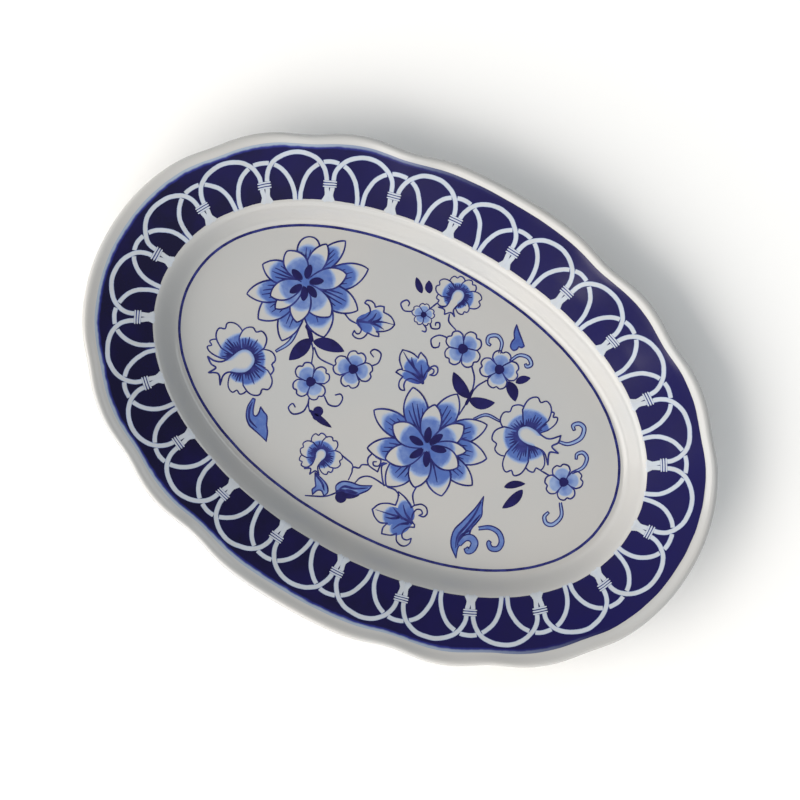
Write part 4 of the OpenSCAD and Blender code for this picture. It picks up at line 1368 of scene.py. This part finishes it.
# A scroll is [points of its middle line, widest width].
blueScrollPlans = [
    ([(75, -58), (76.2, -53), (79.4, -51), (82.6, -52.6), (83.2, -56.4), (81.6, -58.8), (79.6, -57.8)], 4.2),
    ([(80.4, -43.6), (86, -39.9), (92, -39.8), (96.4, -43.6), (96.6, -48.4), (93, -50.4), (90.2, -48.6),
      (90.3, -47)], 3.0),
]
darkBladePlans = [
    ((-63.5, 4.5), (-44, 8.6), 8, 0.9), ((-65.5, 5), (-70.5, -12.8), 8.6, 0.2),
    ((36, 22), (19.5, 31), 7.6, 1.2), ((36, 21.2), (50.8, 27.4), 7.2, -1.6),
    ((51, 42.5), (61.2, 34.2), 6.8, 0.8), ((55.5, 44.2), (62, 51.2), 4.8, 0.5),
    ((-20.8, 62.8), (-28.7, 69.6), 4.2, 0.3), ((-16.8, 65), (-21, 71.7), 4.8, 0.3),
    ((81.2, -14.2), (91.4, -6), 4.6, 0.7), ((91.8, -10), (86.6, -26), 6, 0.9),
    ((-44.5, -32.6), (-27.4, -35.2), 4.2, -0.6), ((-6, -67.2), (7.6, -62.4), 5.4, -0.8),
]
darkDropPlans = [((-39.6, -30.8), 3.1), ((-1.6, -69), 3.6), ((-39, -34.2), 2.2)]
darkStemPlans = [([(-71, 10.6), (-68, 8), (-64.6, 4.6)], 2.8), ([(35.2, 26.5), (35.8, 22.4), (36, 18)], 1.9)]

blueFill, blueLines, darkFill = Drawing(), Drawing(), Drawing()
leafLift = leafLook["firstLift"]
for plan in blueLeafPlans:
    stretches = [through(points, 7) for points in plan["outline"]]
    blueFill.addShape([p for stretch in stretches for p in stretch[:-1]], leafLift, plan["wash"])
    for stretch in stretches:
        blueLines.addLine(stretch, pen["outline"] * 0.9, leafLift + film["line"], (0.9, 1.1, 0.9))
    for streak in plan["streaks"]:
        blueLines.addLine(through(streak), pen["vein"] * 1.1, leafLift + film["line"], (0.6, 1.3, 0.4))


# A band that tapers, filled with a light wash between two lines.
def paintScroll(fill, lines, points, width, lift, strength, line):
    path = through(points)
    last = len(path) - 1
    halves = [
        width / 2 * (0.35 + 0.65 * math.sin(math.pi * (0.08 + 0.84 * k / last)) ** 0.7)
        for k in range(last + 1)
    ]
    rows = []
    for k, point in enumerate(path):
        ahead = (path[min(k + 1, last)] - path[max(k - 1, 0)]).normalized()
        side = Vector((-ahead.y, ahead.x)) * halves[k]
        rows.append([point + side, point, point - side])
    fill.addRows(rows, lift, [strength] * (3 * len(rows)))
    for column in (0, 2):
        lines.addLine([row[column] for row in rows], line, lift + film["line"])
    lines.addLine(rows[-1], line, lift + film["line"])


for points, width in blueScrollPlans:
    paintScroll(blueFill, blueLines, points, width, leafLift + film["step"], 0.5, pen["outline"] * 0.8)
keepPiece(blueFill.make("blueLeafFills", washedBlue), "leaf_blue", "blue_leaves")
keepPiece(blueLines.make("blueLeafLines", lineBlue), "line_blue")

for k, (base, tip, width, bend) in enumerate(darkBladePlans):
    darkFill.addRows(bladeRows(base, tip, width, (0.7, 0.85), bend, 18, 4), leafLift + k % 2 * 0.003)
leafLift += film["step"]
for middle, radius in darkDropPlans:
    darkFill.addShape([Vector(middle) + polar(radius, turn) for turn in spread(0, 360, 24)[:-1]], leafLift)
for points, width in darkStemPlans:
    darkFill.addLine(through(points), width, leafLift + film["line"])
keepPiece(darkFill.make("darkLeaves", denseBlue), "dark_blue", "dark_leaves")

# Stems and tendrils.
tendrilLook = {"line": 1.0, "bandLine": 0.8, "wash": 0.34, "lift": 0.025}
finePlans = [
    [(-72, 11), (-67, 6), (-61, 0), (-57.5, -8)],
    [(-61, 1.5), (-55, -2.5), (-45, -2)],
    [(-56, 29), (-51, 27), (-46, 27)],
    [(-25.5, 9), (-22.7, 13), (-24, 18.5), (-28.5, 19), (-30, 16.2), (-27, 14.6)],
    [(-41, -21), (-36, -24), (-31, -22), (-30.5, -17), (-33, -15), (-35.5, -17)],
    [(-49, -25), (-47, -30), (-44, -33.5)],
    [(-47.3, -29), (-47.5, -35.5), (-52, -39.8), (-56.3, -38), (-55.5, -34.5), (-53, -35.5)],
    [(-20, 50.5), (-25, 48.3), (-28.8, 51), (-27, 54.5), (-24.5, 54), (-24.2, 52)],
    [(-8, 50), (-5, 47.4), (-1.3, 49.5), (-2.5, 52.4), (-4.5, 51.5), (-4, 50)],
    [(-10.5, 47), (-8, 45.6), (-7.4, 43.6), (-9.4, 43)],
    [(-10, 62), (-12, 57)],
    [(0, 60), (2, 56), (8, 53.8)],
    [(6.5, 47.2), (1, 46), (-2, 41.5), (1, 37.8), (4, 39.5), (3.5, 42.2)],
    [(27, 40), (32.5, 34), (35.3, 26), (35.8, 19), (35.5, 10)],
    [(39.5, 36.5), (36.5, 31), (35.5, 25)],
    [(95.5, 5.6), (104, 5.6)],
    [(35, -40), (35.5, -46), (39.6, -51.2)],
    [(18, -49.5), (8, -49.3), (3, -52.5), (1.5, -57)],
    [(20, -49.6), (24.5, -48.8), (28.6, -50.4)],
    [(1.6, -36.6), (0.9, -40.4), (3.4, -43.8), (10, -44.6)],
    [(4.4, -37.2), (8.2, -37.6), (8.8, -41), (6.2, -42.4), (4.8, -40.8), (6.4, -39.6)],
    [(12, -37.4), (10.6, -40.6), (14, -46), (17.6, -50)],
    [(10, -44.6), (9.6, -41.4), (10, -38.4), (12.4, -37.4)],
    [(3.2, -43.7), (-0.3, -45.6), (-1, -48.2), (-4.2, -49.6), (-3.3, -53), (-2.9, -57.6)],
    [(-17, -46), (-11, -47.2), (-6.4, -48), (-4.2, -49.6)],
    [(-5.6, -68.4), (-10.5, -73.6), (-20.8, -79)],
]
bandPlans = [
    ([(-75.4, 8), (-75.6, -3), (-80, -12)], 1.9),
    ([(44.6, 12.5), (50, 18.4), (59, 19.2)], 1.5),
    ([(96, 26.2), (102, 28), (106.6, 34.6), (105.6, 40.8), (101.6, 42), (98.8, 39.2), (100.8, 37)], 2.3),
    ([(38.2, 55), (36.2, 61), (31.8, 63.3), (27.6, 60.4), (28.6, 56.8), (31, 56.2)], 2.0),
    ([(46, 54), (49, 59.6), (54.4, 61.2), (58.2, 58.6), (56.6, 56), (55, 57)], 2.0),
    ([(112.6, 14), (116.6, 20), (116, 26), (112.2, 27.8), (109.6, 25.2), (110.6, 22.4)], 2.0),
    ([(115.6, -5.4), (120, -12), (118.4, -18.8), (114.4, -20.4), (111.4, -17.6), (112.2, -14)], 2.2),
]
tendrilLines, tendrilFill = Drawing(), Drawing()
for points in finePlans:
    tendrilLines.addLine(through(points), tendrilLook["line"], tendrilLook["lift"], (1.0, 1.05, 0.85))
for points, width in bandPlans:
    paintScroll(
        tendrilFill, tendrilLines, points, width,
        tendrilLook["lift"], tendrilLook["wash"], tendrilLook["bandLine"])
keepPiece(tendrilLines.make("tendrils", lineBlue), "line_blue", "tendrils")
keepPiece(tendrilFill.make("tendrilWashes", washedBlue), "washed_blue")

# Floor, light and camera.
studio = {
    "floorColour": (0.93, 0.93, 0.925, 1.0),
    "sideSky": 1.02,  # soft light from all round, up to where the rim would mirror it
    "topSky": 0.22,
    "keySide": (-0.45, -0.89),  # the sky is brighter on the side of the key light
    "skyColour": (0.955, 0.985, 1.0, 1.0),
    "keyLight": ((-0.85, -1.6, 1.25), (2.4, 2.2), 58, (1.0, 0.93, 0.855)),  # place, size, watts, colour
    "fillLight": ((0.9, 1.6, 1.2), (1.4, 1.0), 9, (0.94, 0.97, 1.0)),
    "cameraHeight": 2.6,
    "frameWidth": 0.481,  # what the camera sees across at the rim
    "turn": 30,  # the platter's long axis lies this far round in the view
}


def makeFloor():
    size = 6.0
    corners = [(-size, -size, 0), (size, -size, 0), (size, size, 0), (-size, size, 0)]
    floor = newPiece("floor", corners, (), [(0, 1, 2, 3)])
    material, _, shader, _ = newMaterial("floorPaper")
    shader.inputs["Base Color"].default_value = studio["floorColour"]
    shader.inputs["Roughness"].default_value = 0.9
    floor.data.materials.append(material)


def addSoftbox(name, place, size, watts, colour):
    light = bpy.data.lights.new(name, "AREA")
    light.shape = "RECTANGLE"
    light.size, light.size_y = size
    light.energy = watts
    light.color = colour
    lamp = bpy.data.objects.new(name, light)
    lamp.location = place
    lamp.rotation_euler = (-Vector(place)).to_track_quat("-Z", "Y").to_euler()
    bpy.context.scene.collection.objects.link(lamp)


def makeLight():
    world = bpy.data.worlds.new("studio")
    world.use_nodes = True
    tree = world.node_tree
    heading = addNode(tree, "ShaderNodeTexCoord").outputs["Generated"]
    upward = separate(tree, heading)[2]
    strength = ramp(tree, upward, 0.62, 0.84, studio["sideSky"], studio["topSky"])
    towardsKey = calcVector(tree, "DOT_PRODUCT", heading, (*studio["keySide"], 0.0), output="Value")
    strength = calc(tree, "MULTIPLY", strength, ramp(tree, towardsKey, -1.0, 1.0, 0.3, 1.7))
    tree.links.new(strength, tree.nodes["Background"].inputs["Strength"])
    tree.nodes["Background"].inputs["Color"].default_value = studio["skyColour"]
    bpy.context.scene.world = world
    for name in ("keyLight", "fillLight"):
        addSoftbox(name, *studio[name])


def makeCamera():
    camera = bpy.data.cameras.new("overhead")
    rimHeight = bodyHigh.z
    distance = studio["cameraHeight"] - rimHeight
    camera.lens = camera.sensor_width * distance / studio["frameWidth"]
    camera.clip_end = 20
    seen = bpy.data.objects.new("overhead", camera)
    seen.location = (0, 0, studio["cameraHeight"])
    seen.rotation_euler = (0, 0, studio["turn"] * degree)
    bpy.context.scene.collection.objects.link(seen)
    bpy.context.scene.camera = seen


makeFloor()
makeLight()
makeCamera()
bpy.context.scene.view_settings.view_transform = "Standard"
print("studio ready")
